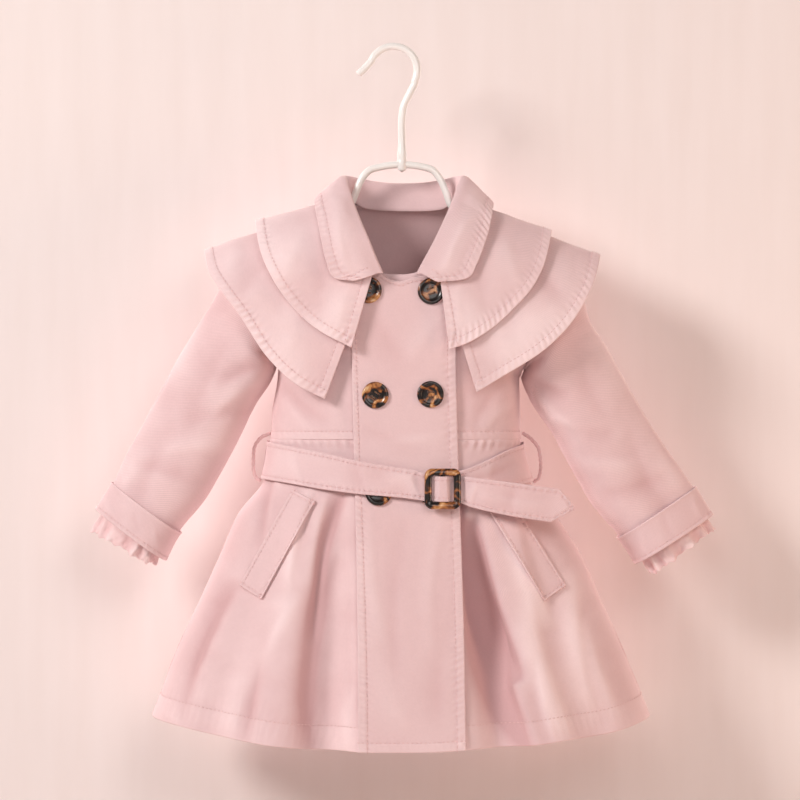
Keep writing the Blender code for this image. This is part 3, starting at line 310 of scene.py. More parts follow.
CAPE_CREASES = {
    "lower": ((-60, -170, -84, -250, 9, 0.9), (-96, -165, -122, -200, 8, -1.0), (70, -175, 92, -250, 9, 0.9),
              (110, -170, 138, -205, 8, -1.0), (-120, -160, -134, -184, 6, 0.8)),
    "upper": ((-48, -150, -60, -218, 9, -0.9), (-70, -145, -86, -188, 8, 0.9), (62, -150, 76, -218, 9, -0.9),
              (86, -150, 100, -190, 8, 0.9), (-34, -190, -44, -228, 6, 0.7), (50, -190, 54, -232, 6, 0.7)),
}
CAPE_BACK_CREASES = {
    "lower": ((-60, -170, -74, -240, 10, 1.2), (20, -190, 24, -255, 10, -1.1), (84, -175, 104, -230, 10, 1.2)),
    "upper": ((-46, -150, -58, -205, 9, -1.0), (10, -150, 12, -216, 10, 0.9), (62, -150, 78, -202, 9, -1.0)),
}
COLLAR_CREASES = ((-44, -132, -34, -182, 4, 0.7), (-52, -150, -42, -184, 3.5, -0.5), (62, -134, 40, -182, 4, 0.7),
                  (66, -150, 50, -186, 3.5, -0.5))
SLEEVE_CREASES = {
    "left": ((-100, -252, -140, -268, 6, -1.6), (-104, -262, -150, -300, 6, 1.3), (-112, -290, -168, -300, 6, -1.2),
             (-150, -215, -176, -270, 9, 1.2), (-128, -318, -190, -322, 7, 1.2), (-150, -350, -206, -330, 6, -1.2),
             (-190, -320, -222, -362, 8, 1.0), (-172, -300, -208, -372, 8, -1.1), (-130, -230, -160, -300, 8, -0.9)),
    "right": ((104, -262, 140, -276, 6, -1.6), (110, -275, 156, -310, 6, 1.3), (124, -300, 176, -306, 6, -1.2),
              (158, -215, 190, -276, 9, 1.2), (138, -326, 204, -330, 7, 1.2), (160, -355, 220, -338, 6, -1.2),
              (204, -312, 240, -358, 8, 1.0), (186, -304, 224, -380, 8, -1.1), (140, -232, 172, -300, 8, -0.9)),
}
SLEEVE_BACK_CREASES = {
    "left": ((-104, -258, -152, -280, 7, -1.5), (-120, -300, -178, -310, 7, 1.3), (-150, -345, -206, -335, 7, -1.3),
             (-150, -220, -196, -300, 9, 1.0)),
    "right": ((110, -270, 160, -290, 7, -1.5), (130, -310, 186, -318, 7, 1.3), (160, -350, 220, -342, 7, -1.3),
              (160, -224, 206, -300, 9, 1.0)),
}
CUFF_CREASES = {
    "left": ((-232, -352, -222, -372, 2.6, 0.5), (-206, -366, -200, -386, 3, -0.5), (-190, -380, -184, -400, 2.4, 0.5)),
    "right": ((238, -356, 246, -374, 2.6, 0.5), (214, -368, 222, -390, 3, -0.5), (196, -382, 202, -404, 2.4, 0.5)),
}
BELT_CREASES = ((-80, -318, -72, -346, 4, 0.8), (-30, -328, -22, -352, 5, -0.7), (12, -334, 20, -356, 4, 0.9),
                (66, -343, 60, -364, 3, 0.9), (96, -346, 92, -370, 5, -0.7), (60, -350, 128, -362, 3.5, 0.6))
BELT_RIGHT_CREASES = ((56, -336, 52, -358, 4, -0.8), (78, -326, 74, -350, 5, 0.9), (60, -344, 100, -328, 4, -0.6))

THREAD_LINES = []
CUTS = []


def smooth(xs, ys, x):
    """Reads a smooth curve through a table's rows that never overshoots them."""
    xs, ys = np.asarray(xs, float), np.asarray(ys, float)
    x = np.clip(x, xs[0], xs[-1])
    step = np.diff(xs)
    slope = np.diff(ys) / step
    product = slope[1:] * slope[:-1]
    total = slope[1:] + slope[:-1]
    inner = np.where(product > 0, 2 * product / np.where(total == 0, 1, total), 0)
    tangent = np.concatenate(([slope[0]], inner, [slope[-1]]))
    i = np.clip(np.searchsorted(xs, x, side="right") - 1, 0, len(step) - 1)
    t = (x - xs[i]) / step[i]
    start, end = ys[i], ys[i + 1]
    return (start * (1 + 2 * t) * (1 - t) ** 2 + tangent[i] * step[i] * t * (1 - t) ** 2
            + end * t * t * (3 - 2 * t) + tangent[i + 1] * step[i] * t * t * (t - 1))


def column(table, names, name, key):
    rows = np.asarray(table, float)
    return smooth(rows[:, 0], rows[:, names.index(name)], key)


def path(points, s):
    """Points at shares s of the way along a smooth line through some points."""
    points = np.asarray(points, float)
    at = np.concatenate(([0.0], np.cumsum(np.linalg.norm(np.diff(points, axis=0), axis=1))))
    return np.stack([smooth(at, points[:, k], np.asarray(s) * at[-1]) for k in range(points.shape[1])], -1)


def mix(a, b, t):
    return a + (b - a) * t


def ramp(low, high, x):
    """A soft step from 0 at low to 1 at high."""
    t = np.clip((x - low) / (high - low), 0, 1)
    return t * t * (3 - 2 * t)


def torso(name, z):
    return column(TORSO, TORSO_COLUMNS, name, z)


def ridge(layer, x):
    return column(RIDGE, RIDGE_COLUMNS, "bodice" if layer == "panel" else layer, x)


def hem_z(x):
    return column(HEM, HEM_COLUMNS, "z", x)


def panel_edge(name, z):
    return column(PANEL, PANEL_COLUMNS, name, z)


def depth(x, z, side, layer="bodice", inset=0.0, off=0.0):
    """How far a layer's face is from the hanger's plane, on the front or the back."""
    out = LAYER_OUT[layer] + off - inset
    on_body = layer in ("bodice", "panel")
    if on_body:
        left, right = torso("left", z), torso("right", z)
        middle, half = (left + right) / 2, (right - left) / 2 + out
    else:
        middle, half = BODY_MIDDLE, CAPE_HALF_WIDTH
    across = np.clip(np.abs(x - middle) / half, 0, 1)
    section = (1 - across ** SECTION_POWER) ** (1 / SECTION_POWER)
    rounding = RIDGE_ROUND_FRONT if side == FRONT else RIDGE_ROUND_BACK
    lift = max(out, 0.0) if on_body else 0.0
    drop = np.clip((ridge(layer, x) + lift - inset - z) / rounding, 0, 1)
    base = torso("front" if side == FRONT else "back", z)
    return (base + out) * section * np.sqrt(1 - (1 - drop) ** 2) + HALF_GAP


def folds(x, z, side):
    """How far the skirt's folds sink into it, or stand off it, at a place."""
    grown = np.clip((FOLD_START_Z - z) / FOLD_LENGTH, 0, 1.1)
    sunk = 0.0
    for fold_side, x_waist, x_hem, width_waist, width_hem, fold_depth in FOLDS:
        if fold_side == side:
            centre, width = mix(x_waist, x_hem, grown), mix(width_waist, width_hem, grown)
            sunk = sunk + fold_depth * grown ** 0.8 * np.exp(-(((x - centre) / width) ** 2))
    left, right = torso("left", z), torso("right", z)
    across = np.clip(np.abs(2 * x - left - right) / (right - left), 0, 1)
    sunk = sunk * np.sqrt(1 - across ** 4)
    if side == FRONT:
        from_seam = np.clip((panel_edge("left", z) + BODICE_TUCK - x) / FOLD_SEAM_RAMP, 0, 1)
        sunk = sunk * np.where(x < 0, from_seam, 1.0)
    return sunk


def face(x, z, side, layer="bodice", off=0.0, folded=False):
    """Points on a layer's face."""
    x, z = np.broadcast_arrays(np.asarray(x, float), np.asarray(z, float))
    y = depth(x, z, side, layer, 0.0, off)
    if folded:
        y = y - folds(x, z, side)
    return np.stack((x, side * y, z), -1)


def murmur(a, b, size, seed):
    """Smooth irregular values from -1 to 1 over two coordinates in millimetres."""
    a, b = np.broadcast_arrays(np.asarray(a, float) / size, np.asarray(b, float) / size)
    i, j = np.floor(a), np.floor(b)
    s, t = a - i, b - j
    s, t = s * s * (3 - 2 * s), t * t * (3 - 2 * t)

    def corner(p, q):
        wave = np.sin(p * 127.1 + q * 311.7 + seed * 74.7) * 43758.5453
        return (wave - np.floor(wave)) * 2 - 1

    low = mix(corner(i, j), corner(i + 1, j), s)
    return mix(low, mix(corner(i, j + 1), corner(i + 1, j + 1), s), t)


def stitched_edge(d, s, seed, width=6.6, lift=0.45, pucker=0.5, pitch=5.6):
    """Height of a turned, topstitched edge: d in from the edge and s along it."""
    turned = lift * (1 - ramp(width - 0.6, width + 1.4, d))
    # Through the relief the groove is also painted deeper as shade, and the turned lift paler as highlight.
    groove = -0.45 * np.exp(-(((d - width) / 1.0) ** 2))
    phase = 2.4 * murmur(s, d * 0.2, 17.0, seed)
    strength = pucker * (0.65 + 0.5 * murmur(s, 0.0, 23.0, seed + 3))
    ripple = strength * np.sin(2 * math.pi * (s + 0.35 * d) / pitch + phase)
    inside = np.exp(-(((d - width * 0.6) / (width * 0.5)) ** 2))
    beyond = 0.5 * np.exp(-(((d - width * 1.35) / (width * 0.3)) ** 2))
    return turned + groove + ripple * (inside + beyond)


def creases(x, z, lines):
    """Soft troughs and ridges laid one by one: both ends, half width and height, with a minus for a trough."""
    # Their heights also tint the cloth through the relief: painted shade in the troughs, painted highlight on the
    # ridges.
    total = np.zeros(np.broadcast(x, z).shape)
    for x0, z0, x1, z1, width, height in lines:
        run_x, run_z = x1 - x0, z1 - z0
        length = math.hypot(run_x, run_z)
        t = ((x - x0) * run_x + (z - z0) * run_z) / length ** 2
        aside = ((x - x0) * run_z - (z - z0) * run_x) / length
        aside = aside - 0.05 * length * np.sin(math.pi * np.clip(t, 0, 1))
        fade = np.clip(1 - (2 * t - 1) ** 2, 0, 1) ** 0.8
        spread = np.where(aside > 0, width * 1.35, width * 0.7)
        total += height * fade * np.exp(-((aside / spread) ** 2))
    return total


def shares(length, step, start=(), end=()):
    """Shares of a length, a step apart, with closer places near either end where a hem needs them."""
    start, end = list(start), list(end)
    low = start[-1] if start else 0.0
    high = length - (end[-1] if end else 0.0)
    count = max(int(round((high - low) / step)), 2)
    inner = np.linspace(low, high, count + 1)
    places = np.concatenate(([0.0], start[:-1], inner, length - np.array(end[:-1][::-1]), [length]))
    return np.unique(np.round(places, 6)) / length


HEM_PLACES = (0.8, 1.9, 3.1, 4.3, 5.3, 6.1, 6.9, 7.8, 9.0)


def spans(grid):
    """Distances over a grid's face: along its columns from the first and to the last, then along its rows."""
    along = np.linalg.norm(np.diff(grid, axis=0), axis=2)
    across = np.linalg.norm(np.diff(grid, axis=1), axis=2)
    u = np.concatenate((np.zeros((1, grid.shape[1])), np.cumsum(along, axis=0)))
    v = np.concatenate((np.zeros((grid.shape[0], 1)), np.cumsum(across, axis=1)), axis=1)
    return u, u[-1:] - u, v, v[:, -1:] - v


def normals_of(grid, closed, hub):
    """Unit normals that point away from the body's middle, from the ring's middle, or as the grid runs."""
    if closed:
        along = np.roll(grid, -1, axis=0) - np.roll(grid, 1, axis=0)
    else:
        along = np.gradient(grid, axis=0)
    normals = np.cross(along, np.gradient(grid, axis=1))
    normals /= np.maximum(np.linalg.norm(normals, axis=2, keepdims=True), 1e-9)
    if hub == "body":
        away = grid - np.array([BODY_MIDDLE, 0.0, 0.0])
        away[..., 2] = 0.0
    elif hub == "ring":
        away = grid - grid.mean(axis=0, keepdims=True)
    else:
        return normals
    return normals * np.sign((normals * away).sum())


def make_mesh(name, points, faces, look, uvs=None, relief=None):
    """A mesh object at the origin from millimetre points, with its faces turned outwards."""
    mesh = bpy.data.meshes.new(name)
    mesh.from_pydata((np.asarray(points, float) / 1000).tolist(), [], faces)
    if uvs is not None:
        layer = mesh.uv_layers.new(name="cloth")
        layer.data.foreach_set("uv", np.asarray(uvs, float).ravel())
    if relief is not None:
        attribute = mesh.attributes.new("relief", "FLOAT", "POINT")
        attribute.data.foreach_set("value", np.asarray(relief, float).ravel())
    shape = bmesh.new()
    shape.from_mesh(mesh)
    bmesh.ops.recalc_face_normals(shape, faces=shape.faces)
    shape.to_mesh(mesh)
    shape.free()
    mesh.shade_smooth()
    mesh.materials.append(look)
    thing = bpy.data.objects.new(name, mesh)
    bpy.context.scene.collection.objects.link(thing)
    return thing


def seat(thing, slot, *nodes):
    """Fastens a finished piece to the coat and lets it stand for its solids."""
    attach(thing, "root")
    if nodes:
        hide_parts(*nodes)
    return thing


def cloth(name, node, grid, look, height=0.0, thick=1.0, closed=False, hub="body", start=0.0, slot="pink_twill"):
    """Makes a cloth piece from its outer face's grid. Returns the face and its normals for what lies on it."""
    grid = np.asarray(grid, float)
    normals = normals_of(grid, closed, hub)
    height = np.broadcast_to(height, grid.shape[:2])
    outer = grid + normals * (height + start)[..., None]
    inner = outer - normals * thick
    columns, rows = grid.shape[:2]
    u, _, v, _ = spans(outer if not closed else np.concatenate((outer, outer[:1])))
    size = columns * rows
    i, j = np.arange(columns if closed else columns - 1)[:, None], np.arange(rows - 1)[None, :]

    def at(a, b):
        return (a % columns) * rows + b

    def tag(a, b):
        return np.broadcast_to(a * rows + b, (len(i), rows - 1)).ravel()

    ring = np.stack([np.broadcast_to(at(*p), (len(i), rows - 1)).ravel()
                     for p in ((i, j), (i + 1, j), (i + 1, j + 1), (i, j + 1))], -1)
    tags = np.stack([tag(*p) for p in ((i, j), (i + 1, j), (i + 1, j + 1), (i, j + 1))], -1)
    flat_uv = np.stack((u, v), -1).reshape(-1, 2)
    faces = [ring, ring[:, ::-1] + size]
    uvs = [flat_uv[tags], flat_uv[tags[:, ::-1]]]
    loops = []
    if closed:
        loops += [([at(k, 0) for k in range(columns)], [at(k, 1) for k in range(columns)], True)]
        loops += [([at(k, rows - 1) for k in range(columns)], [at(k, rows - 2) for k in range(columns)], True)]
    else:
        edge = [(k, 0) for k in range(columns)] + [(columns - 1, k) for k in range(1, rows)]
        edge += [(k, rows - 1) for k in range(columns - 2, -1, -1)] + [(0, k) for k in range(rows - 2, 0, -1)]
        inside = [(min(max(a, 1), columns - 2), min(max(b, 1), rows - 2)) for a, b in edge]
        loops += [([at(*p) for p in edge], [at(*p) for p in inside], True)]
    points = [outer.reshape(-1, 3), inner.reshape(-1, 3)]
    # These heights become the relief that tints the cloth: the inner face, 1 mm lower, is painted a little deeper as
    # shade, and the rolled rim paler as highlight.
    heights = [height.ravel(), height.ravel() - 1.0]
    total = 2 * size
    for edge, inside, _ in loops:
        a, b, c = points[0][edge], points[1][edge], points[0][inside]
        way = a - c
        way /= np.maximum(np.linalg.norm(way, axis=1, keepdims=True), 1e-9)
        points.append((a + b) / 2 + way * thick * 0.35)
        heights.append(heights[0][edge] + 0.4)
        count = len(edge)
        edge, rim = np.array(edge), total + np.arange(count)
        after, rim_after = np.roll(edge, -1), np.roll(rim, -1)
        faces.append(np.stack((edge, after, rim_after, rim), -1))
        faces.append(np.stack((rim, rim_after, after + size, edge + size), -1))
        edge_uv = np.stack((u[:columns], v[:columns]), -1).reshape(-1, 2)
        for quad in ((edge, after, after, edge), (edge, after, after, edge)):
            uvs.append(np.stack([edge_uv[q] for q in quad], 1))
        total += count
    thing = make_mesh(name, np.concatenate(points), np.concatenate(faces).tolist(), look,
                      np.concatenate(uvs), np.concatenate(heights))
    seat(thing, slot, node)
    state_cut(thing, outer, closed)
    return outer, normals


def state_cut(thing, grid, closed):
    """States the flat cut of a piece of cloth, from its own widths and lengths."""
    loop = np.concatenate((grid, grid[:1])) if closed else grid
    u, _, v, _ = spans(loop)
    a, b = loop[1:, :-1] - loop[:-1, :-1], loop[:-1, 1:] - loop[:-1, :-1]
    c, d = loop[1:, :-1] - loop[1:, 1:], loop[:-1, 1:] - loop[1:, 1:]
    area = (np.linalg.norm(np.cross(a, b), axis=2).sum() + np.linalg.norm(np.cross(c, d), axis=2).sum()) / 2
    width, length = float(u[-1].max()), float(v[:, -1].max())
    CUTS.append((thing.name, round(width), round(length), round(area / 100)))


def sew_along(face_and_normals, side, inset, lift=0.12, skip=0):
    """Adds a row of topstitching at an inset from one side of a piece: start, end, low or high."""
    grid, normals = face_and_normals
    if side in ("low", "high"):
        grid, normals = grid.transpose(1, 0, 2), normals.transpose(1, 0, 2)
    if side in ("end", "high"):
        grid, normals = grid[::-1], normals[::-1]
    u = spans(grid)[0]
    line = []
    for k in range(skip, grid.shape[1] - skip):
        i = min(int(np.searchsorted(u[:, k], inset)), grid.shape[0] - 1)
        t = (inset - u[i - 1, k]) / max(u[i, k] - u[i - 1, k], 1e-9)
        t = min(max(t, 0.0), 1.0)
        place = mix(grid[i - 1, k], grid[i, k], t) + mix(normals[i - 1, k], normals[i, k], t) * lift
        line.append(place)
    THREAD_LINES.append(np.array(line))


def patch(bottom, top, start, end, us, vs):
    """Places between four edges: bottom and top run with u, start and end with v."""
    b, t = bottom(us)[:, None, :], top(us)[:, None, :]
    s, e = start(vs)[None, :, :], end(vs)[None, :, :]
    u, v = np.asarray(us)[:, None, None], np.asarray(vs)[None, :, None]
    corners = (1 - u) * (1 - v) * b[0] + u * (1 - v) * b[-1] + (1 - u) * v * t[0] + u * v * t[-1]
    return (1 - v) * b + v * t + (1 - u) * s + u * e - corners


def pairs_of(x, z):
    return np.stack(np.broadcast_arrays(np.asarray(x, float), np.asarray(z, float)), -1)


def side_edge(side_name, v):
    """The bodice's outer edge: up the side seam to the underarm, then up the armhole."""
    underarm_z = UNDERARM_LEFT if side_name == "left" else UNDERARM_RIGHT
    shoulder = SHOULDER_LEFT if side_name == "left" else SHOULDER_RIGHT
    v = np.asarray(v)
    z = mix(WAIST_Z, underarm_z, np.clip(v / UNDERARM_SHARE, 0, 1))
    low = np.array([float(torso(side_name, underarm_z)), underarm_z])
    high = np.array([shoulder[0], float(ridge("bodice", shoulder[0]))])
    up = mix(low, high, np.clip((v - UNDERARM_SHARE) / (1 - UNDERARM_SHARE), 0, 1)[:, None])
    return np.where((v < UNDERARM_SHARE)[:, None], pairs_of(torso(side_name, z), z), up)


def make_bodice(look):
    for side_name, seed in (("left", 11), ("right", 12)):
        neck = np.array(NECK_LEFT if side_name == "left" else NECK_RIGHT)
        shoulder = SHOULDER_LEFT if side_name == "left" else SHOULDER_RIGHT
        front_x = neck[-1][0]

        def bottom(u):
            return pairs_of(mix(front_x, torso(side_name, WAIST_Z), u), WAIST_Z)

        def top(u):
            on_neck = path(neck[::-1], np.clip(u / NECK_SHARE, 0, 1))
            x = mix(neck[0][0], shoulder[0], np.clip((u - NECK_SHARE) / (1 - NECK_SHARE), 0, 1))
            return np.where((u <= NECK_SHARE)[:, None], on_neck, pairs_of(x, ridge("bodice", x)))

        def start(v):
            return pairs_of(front_x, mix(WAIST_Z, neck[-1][1], v))

        us = np.unique(np.concatenate((np.sin(np.linspace(0, math.pi / 2, 60)), [NECK_SHARE])))
        vs = np.unique(np.concatenate((shares(190, 2.6, HEM_PLACES), [UNDERARM_SHARE])))
        place = patch(bottom, top, start, lambda v: side_edge(side_name, v), us, vs)
        x, z = place[..., 0], place[..., 1]
        height = stitched_edge(z - WAIST_Z, x, seed, 6.4, 0.35, 0.3)
        height += creases(x, z, BODICE_CREASES[side_name]) + 0.25 * murmur(x, z, 26, seed)
        made = cloth(f"{side_name}_front_bodice", f"bodice_{side_name}_front", face(x, z, FRONT), look, height)
        sew_along(made, "low", 6.4)

    neck = np.asarray(BACK_NECK)

    def bottom(u):
        return pairs_of(mix(torso("left", WAIST_Z), torso("right", WAIST_Z), u), WAIST_Z)

    def top(u):
        x = mix(SHOULDER_LEFT[0], SHOULDER_RIGHT[0], u)
        in_neck = (x > neck[0, 0]) & (x < neck[-1, 0])
        return pairs_of(x, np.where(in_neck, smooth(neck[:, 0], neck[:, 1], x), ridge("bodice", x)))

    us = (1 - np.cos(np.linspace(0, math.pi, 100))) / 2
    vs = np.unique(np.concatenate((shares(190, 2.6, HEM_PLACES), [UNDERARM_SHARE])))
    place = patch(bottom, top, lambda v: side_edge("left", v), lambda v: side_edge("right", v), us, vs)
    x, z = place[..., 0], place[..., 1]
    height = stitched_edge(z - WAIST_Z, x, 13, 6.4, 0.35, 0.3) + 0.25 * murmur(x, z, 30, 14)
    height += creases(x, z, BACK_BODICE_CREASES)
    made = cloth("back_bodice", "bodice_back", face(x, z, BACK), look, height)
    sew_along(made, "low", 6.4)


def make_front_panels(look):
    def strip(top_edge, left_of, right_of, layer, shares_across, ups, rise):
        top_edge = np.asarray(top_edge)
        share = shares_across[:, None]
        top_x = mix(top_edge[0, 0], top_edge[-1, 0], share)
        top_z = smooth(top_edge[:, 0], top_edge[:, 1], top_x)
        hem_x = mix(left_of(MIDDLE_HEM_Z), right_of(MIDDLE_HEM_Z), share)
        z = mix(hem_z(hem_x) + rise, top_z, ups[None, :])
        x = mix(left_of(z), right_of(z), share)
        x[:, -1] = top_x[:, 0]
        return x, z

    across = shares(82, 2.4, HEM_PLACES, HEM_PLACES)
    ups = shares(368, 1.5, HEM_PLACES, (1.0, 2.0, 3.2, 4.6))
    x, z = strip(PANEL_TOP, lambda z: panel_edge("left", z), lambda z: panel_edge("right", z), "panel",
                 across, ups, 0.0)
    grid = face(x, z, FRONT, "panel")
    left, right, low, high = spans(grid)
    height = stitched_edge(left, low, 21, 7.0) + stitched_edge(right, low, 22, 6.6)
    height += stitched_edge(low, left, 23, 7.4, 0.5, 0.3) + stitched_edge(high, left, 24, 3.0, 0.2, 0.3, 4.5)
    height += creases(x, z, PANEL_CREASES) + 0.3 * murmur(x, z, 34, 25)
    made = cloth("overlap_front_panel", "overlap_panel", grid, look, height)
    sew_along(made, "start", 7.0)
    sew_along(made, "end", 6.6)
    sew_along(made, "low", 7.4)
    sew_along(made, "high", 3.0)
    x, z = strip(UNDERLAP_TOP, lambda z: UNDERLAP_LEFT + 0 * z, lambda z: UNDERLAP_RIGHT + 0 * z, "bodice",
                 shares(66, 4.0, HEM_PLACES, HEM_PLACES), shares(370, 4.0, HEM_PLACES), 3.0)
    grid = face(x, z, FRONT)
    left, right, low, _ = spans(grid)
    height = stitched_edge(left, low, 26, 6.6, 0.2, 0.15) + stitched_edge(low, left, 27, 6.6, 0.2, 0.15)
    cloth("underlap_front_panel", "underlap_panel", grid, look, height)


def make_skirt(look):
    for side_name, sign in (("left", -1), ("right", 1)):
        for side, where, seed in ((FRONT, "front", 31), (BACK, "back", 33)):
            seed += sign

            def start_of(z):
                if side == BACK:
                    return BODY_MIDDLE + sign * HALF_GAP + 0 * z
                if side_name == "left":
                    return panel_edge("left", z) + BODICE_TUCK
                return NECK_RIGHT[-1][0] + 0 * z

            side_hem = np.float64(SIDE_HEM_Z)
            share = shares(150, 1.5)[:, None]
            rise = shares(230, 2.4, HEM_PLACES)
            low_x = mix(start_of(side_hem), torso(side_name, side_hem), share)
            z = mix(hem_z(low_x), WAIST_Z - SEAM_GAP, rise[None, :])
            x = mix(start_of(z), torso(side_name, z), share)
            grid = face(x, z, side, folded=True)
            start, end, low, high = spans(grid)
            height = stitched_edge(low, start, seed, 18.5, 0.3, 0.22, 6.5)
            height += stitched_edge(high, start, seed + 5, 5.0, 0.2, 0.7, 7.5) * ramp(22, 2, high)
            height += 0.5 * murmur(x, z, 30, seed + 9) + 0.2 * murmur(x, z, 10, seed + 10)
            height += creases(x, z, SKIRT_CREASES[(side_name, where)])
            if side == BACK:
                height += stitched_edge(start, low, seed + 2, 4.0, 0.15, 0.2)
            made = cloth(f"{side_name}_{where}_skirt", f"skirt_{side_name}_{where}", grid, look, height)
            sew_along(made, "low", 18.5)


def cape_places(layer, across, rows):
    """A cape's face from its left front edge over the shoulder, round the back and to its right front."""
    edges = CAPES[layer]
    front_shares = across
    back_shares = np.linspace(0, 1, 250)

    def lay(neck, edge, share, side, shoulders):
        low, high = path(neck, share)[:, None, :], path(edge, share)[:, None, :]
        place = mix(low, high, rows[None, :, None])
        for at, pull in shoulders:
            top = mix(path(neck, at), path(edge, at), rows[:, None])
            place[..., 1] += pull[:, None] * (ridge(layer, top[:, 0]) - top[:, 1])[None, :]
        return place

    front_grids = []
    for side_name in ("left", "right"):
        neck, edge = edges[f"neck_{side_name}"], edges[f"edge_{side_name}"]
        place = mix(path(neck, front_shares)[:, None, :], path(edge, front_shares)[:, None, :], rows[None, :, None])
        top = place[-1]
        place[..., 1] += front_shares[:, None] * (ridge(layer, top[:, 0]) - top[:, 1])[None, :]
        points = face(place[..., 0], place[..., 1], FRONT, layer)
        points[-1, :, 1] = 0.0
        front_grids.append(points)
    back = lay(edges["neck_back"], edges["edge_back"], back_shares, BACK, ((0.0, 1 - back_shares), (1.0, back_shares)))
    back = face(back[..., 0], back[..., 1], BACK, layer)[1:-1]
    return np.concatenate((front_grids[0], back, front_grids[1][::-1]))


def make_capes(look):
    rows = shares(110, 2.7, (2.0,), HEM_PLACES)
    across = shares(160, 1.15, HEM_PLACES)
    for layer, seed in (("lower", 41), ("upper", 44)):
        grid = cape_places(layer, across, rows)
        start, end, _, edge = spans(grid)
        run = start[:, -1:] + 0 * edge
        height = stitched_edge(edge, run, seed, 6.8, 0.5, 0.62, 5.8)
        near_front = np.minimum(start, end)
        height += stitched_edge(near_front, edge, seed + 1, 6.6, 0.4, 0.4, 5.6)
        x, z = grid[..., 0], grid[..., 2]
        flare = ramp(60, 0, edge) * ramp(0, 30, np.minimum(start[:, -1:], end[:, -1:]))
        height += flare * (1.8 + 2.0 * murmur(run, 0.0, 52, seed + 2))
        height += 0.5 * murmur(x, z, 28, seed + 3) + 0.22 * murmur(x, z, 9, seed + 6)
        front = grid[..., 1] < 0
        height += np.where(front, creases(x, z, CAPE_CREASES[layer]), creases(x, z, CAPE_BACK_CREASES[layer]))
        height = np.maximum(height, -0.9)
        made = cloth(f"{layer}_shoulder_cape", f"{layer}_cape", grid, look, height)
        sew_along(made, "high", 6.8)
        sew_along(made, "start", 6.6, skip=6)
        sew_along(made, "end", 6.6, skip=6)


ROLL_SOFTENING = 14


def make_collar(look):
    rows = np.asarray(COLLAR, float)
    steps = np.arange(len(rows))
    places = shares(20, 0.048, (0.04, 0.09, 0.16, 0.24, 0.33), (0.04, 0.09, 0.16, 0.24, 0.33)) * 20
    edge = np.array([(x, side * float(depth(x, z, side, "collar")) if side else 0.0, z)
                     for side, x, z in zip(rows[:, 0], rows[:, 7], rows[:, 8])])
    stand, top = (np.stack([smooth(steps, part[:, k], places) for k in range(3)], -1)
                  for part in (rows[:, 1:4], rows[:, 4:7]))
    low = rounded_line(edge, places)
    outwards = low - top
    outwards[:, 2] = 0.0
    outwards /= np.linalg.norm(outwards, axis=1, keepdims=True)
    turn = outwards * FOLD_HALF_TURN
    lines = [mix(stand, top, q) for q in (0.0, 0.12, 0.25, 0.4, 0.55, 0.7, 0.85)]
    start = top + turn * 2 - FOLD_RISE
    for angle in np.radians((180, 150, 120, 90, 60, 30, 0)):
        lines.append(top + turn * (1 + math.cos(angle)) + FOLD_RISE * (1.9 * math.sin(angle) - 1.0))
    for q in shares(45, 1.6, (), HEM_PLACES)[1:]:
        place = mix(start, low, q)
        for side in (FRONT, BACK):
            least = depth(place[:, 0], place[:, 2], side, "collar") - HALF_GAP
            inside = (place[:, 2] < ridge("collar", place[:, 0])) & (np.abs(place[:, 1]) < least)
            this_side = (place[:, 1] < 0) == (side == FRONT)
            place[:, 1] = np.where(inside & this_side, side * least, place[:, 1])
        lines.append(place)
    grid = np.stack(lines, 1)
    for _ in range(ROLL_SOFTENING):
        grid[:, 9:26] = (grid[:, 8:25] + 2 * grid[:, 9:26] + grid[:, 10:27]) / 4
    first, last, foot, fall = spans(grid)
    run = first[:, -1:] + 0 * fall
    on_fall = ramp(0, 12, foot - foot[:, 13:14])
    height = stitched_edge(fall, run, 51, 7.2, 0.4, 0.55, 5.6) * on_fall
    height += stitched_edge(np.minimum(first, last), fall, 52, 7.0, 0.4, 0.35, 5.4) * on_fall
    height += 0.9 * np.sin(math.pi * np.clip(fall / 44, 0, 1)) * on_fall
    height += 0.35 * murmur(run, fall, 22, 53) * on_fall
    height += creases(grid[..., 0], grid[..., 2], COLLAR_CREASES) * on_fall * (grid[..., 1] < 0)
    made = cloth("turned_down_collar", "collar", grid, look, height, hub="as drawn", start=1.5)
    sew_along(made, "high", 7.2, skip=2)
    fall_part = tuple(part[:, 14:] for part in made)
    sew_along(fall_part, "start", 7.0, skip=4)
    sew_along(fall_part, "end", 7.0, skip=4)


def rounded_line(points, at):
    """A line that rounds each of its points, read at places between their numbers."""
    padded = np.concatenate((2 * points[:1] - points[1:2], points, 2 * points[-1:] - points[-2:-1]))
    i = np.clip(np.floor(at).astype(int), 0, len(points) - 2)
    t = (at - i)[:, None]
    a, b, c, d = (padded[i + k] for k in range(4))
    return 0.5 * (2 * b + (c - a) * t + (2 * a - 5 * b + 4 * c - d) * t ** 2 + (3 * b - a - 3 * c + d) * t ** 3)


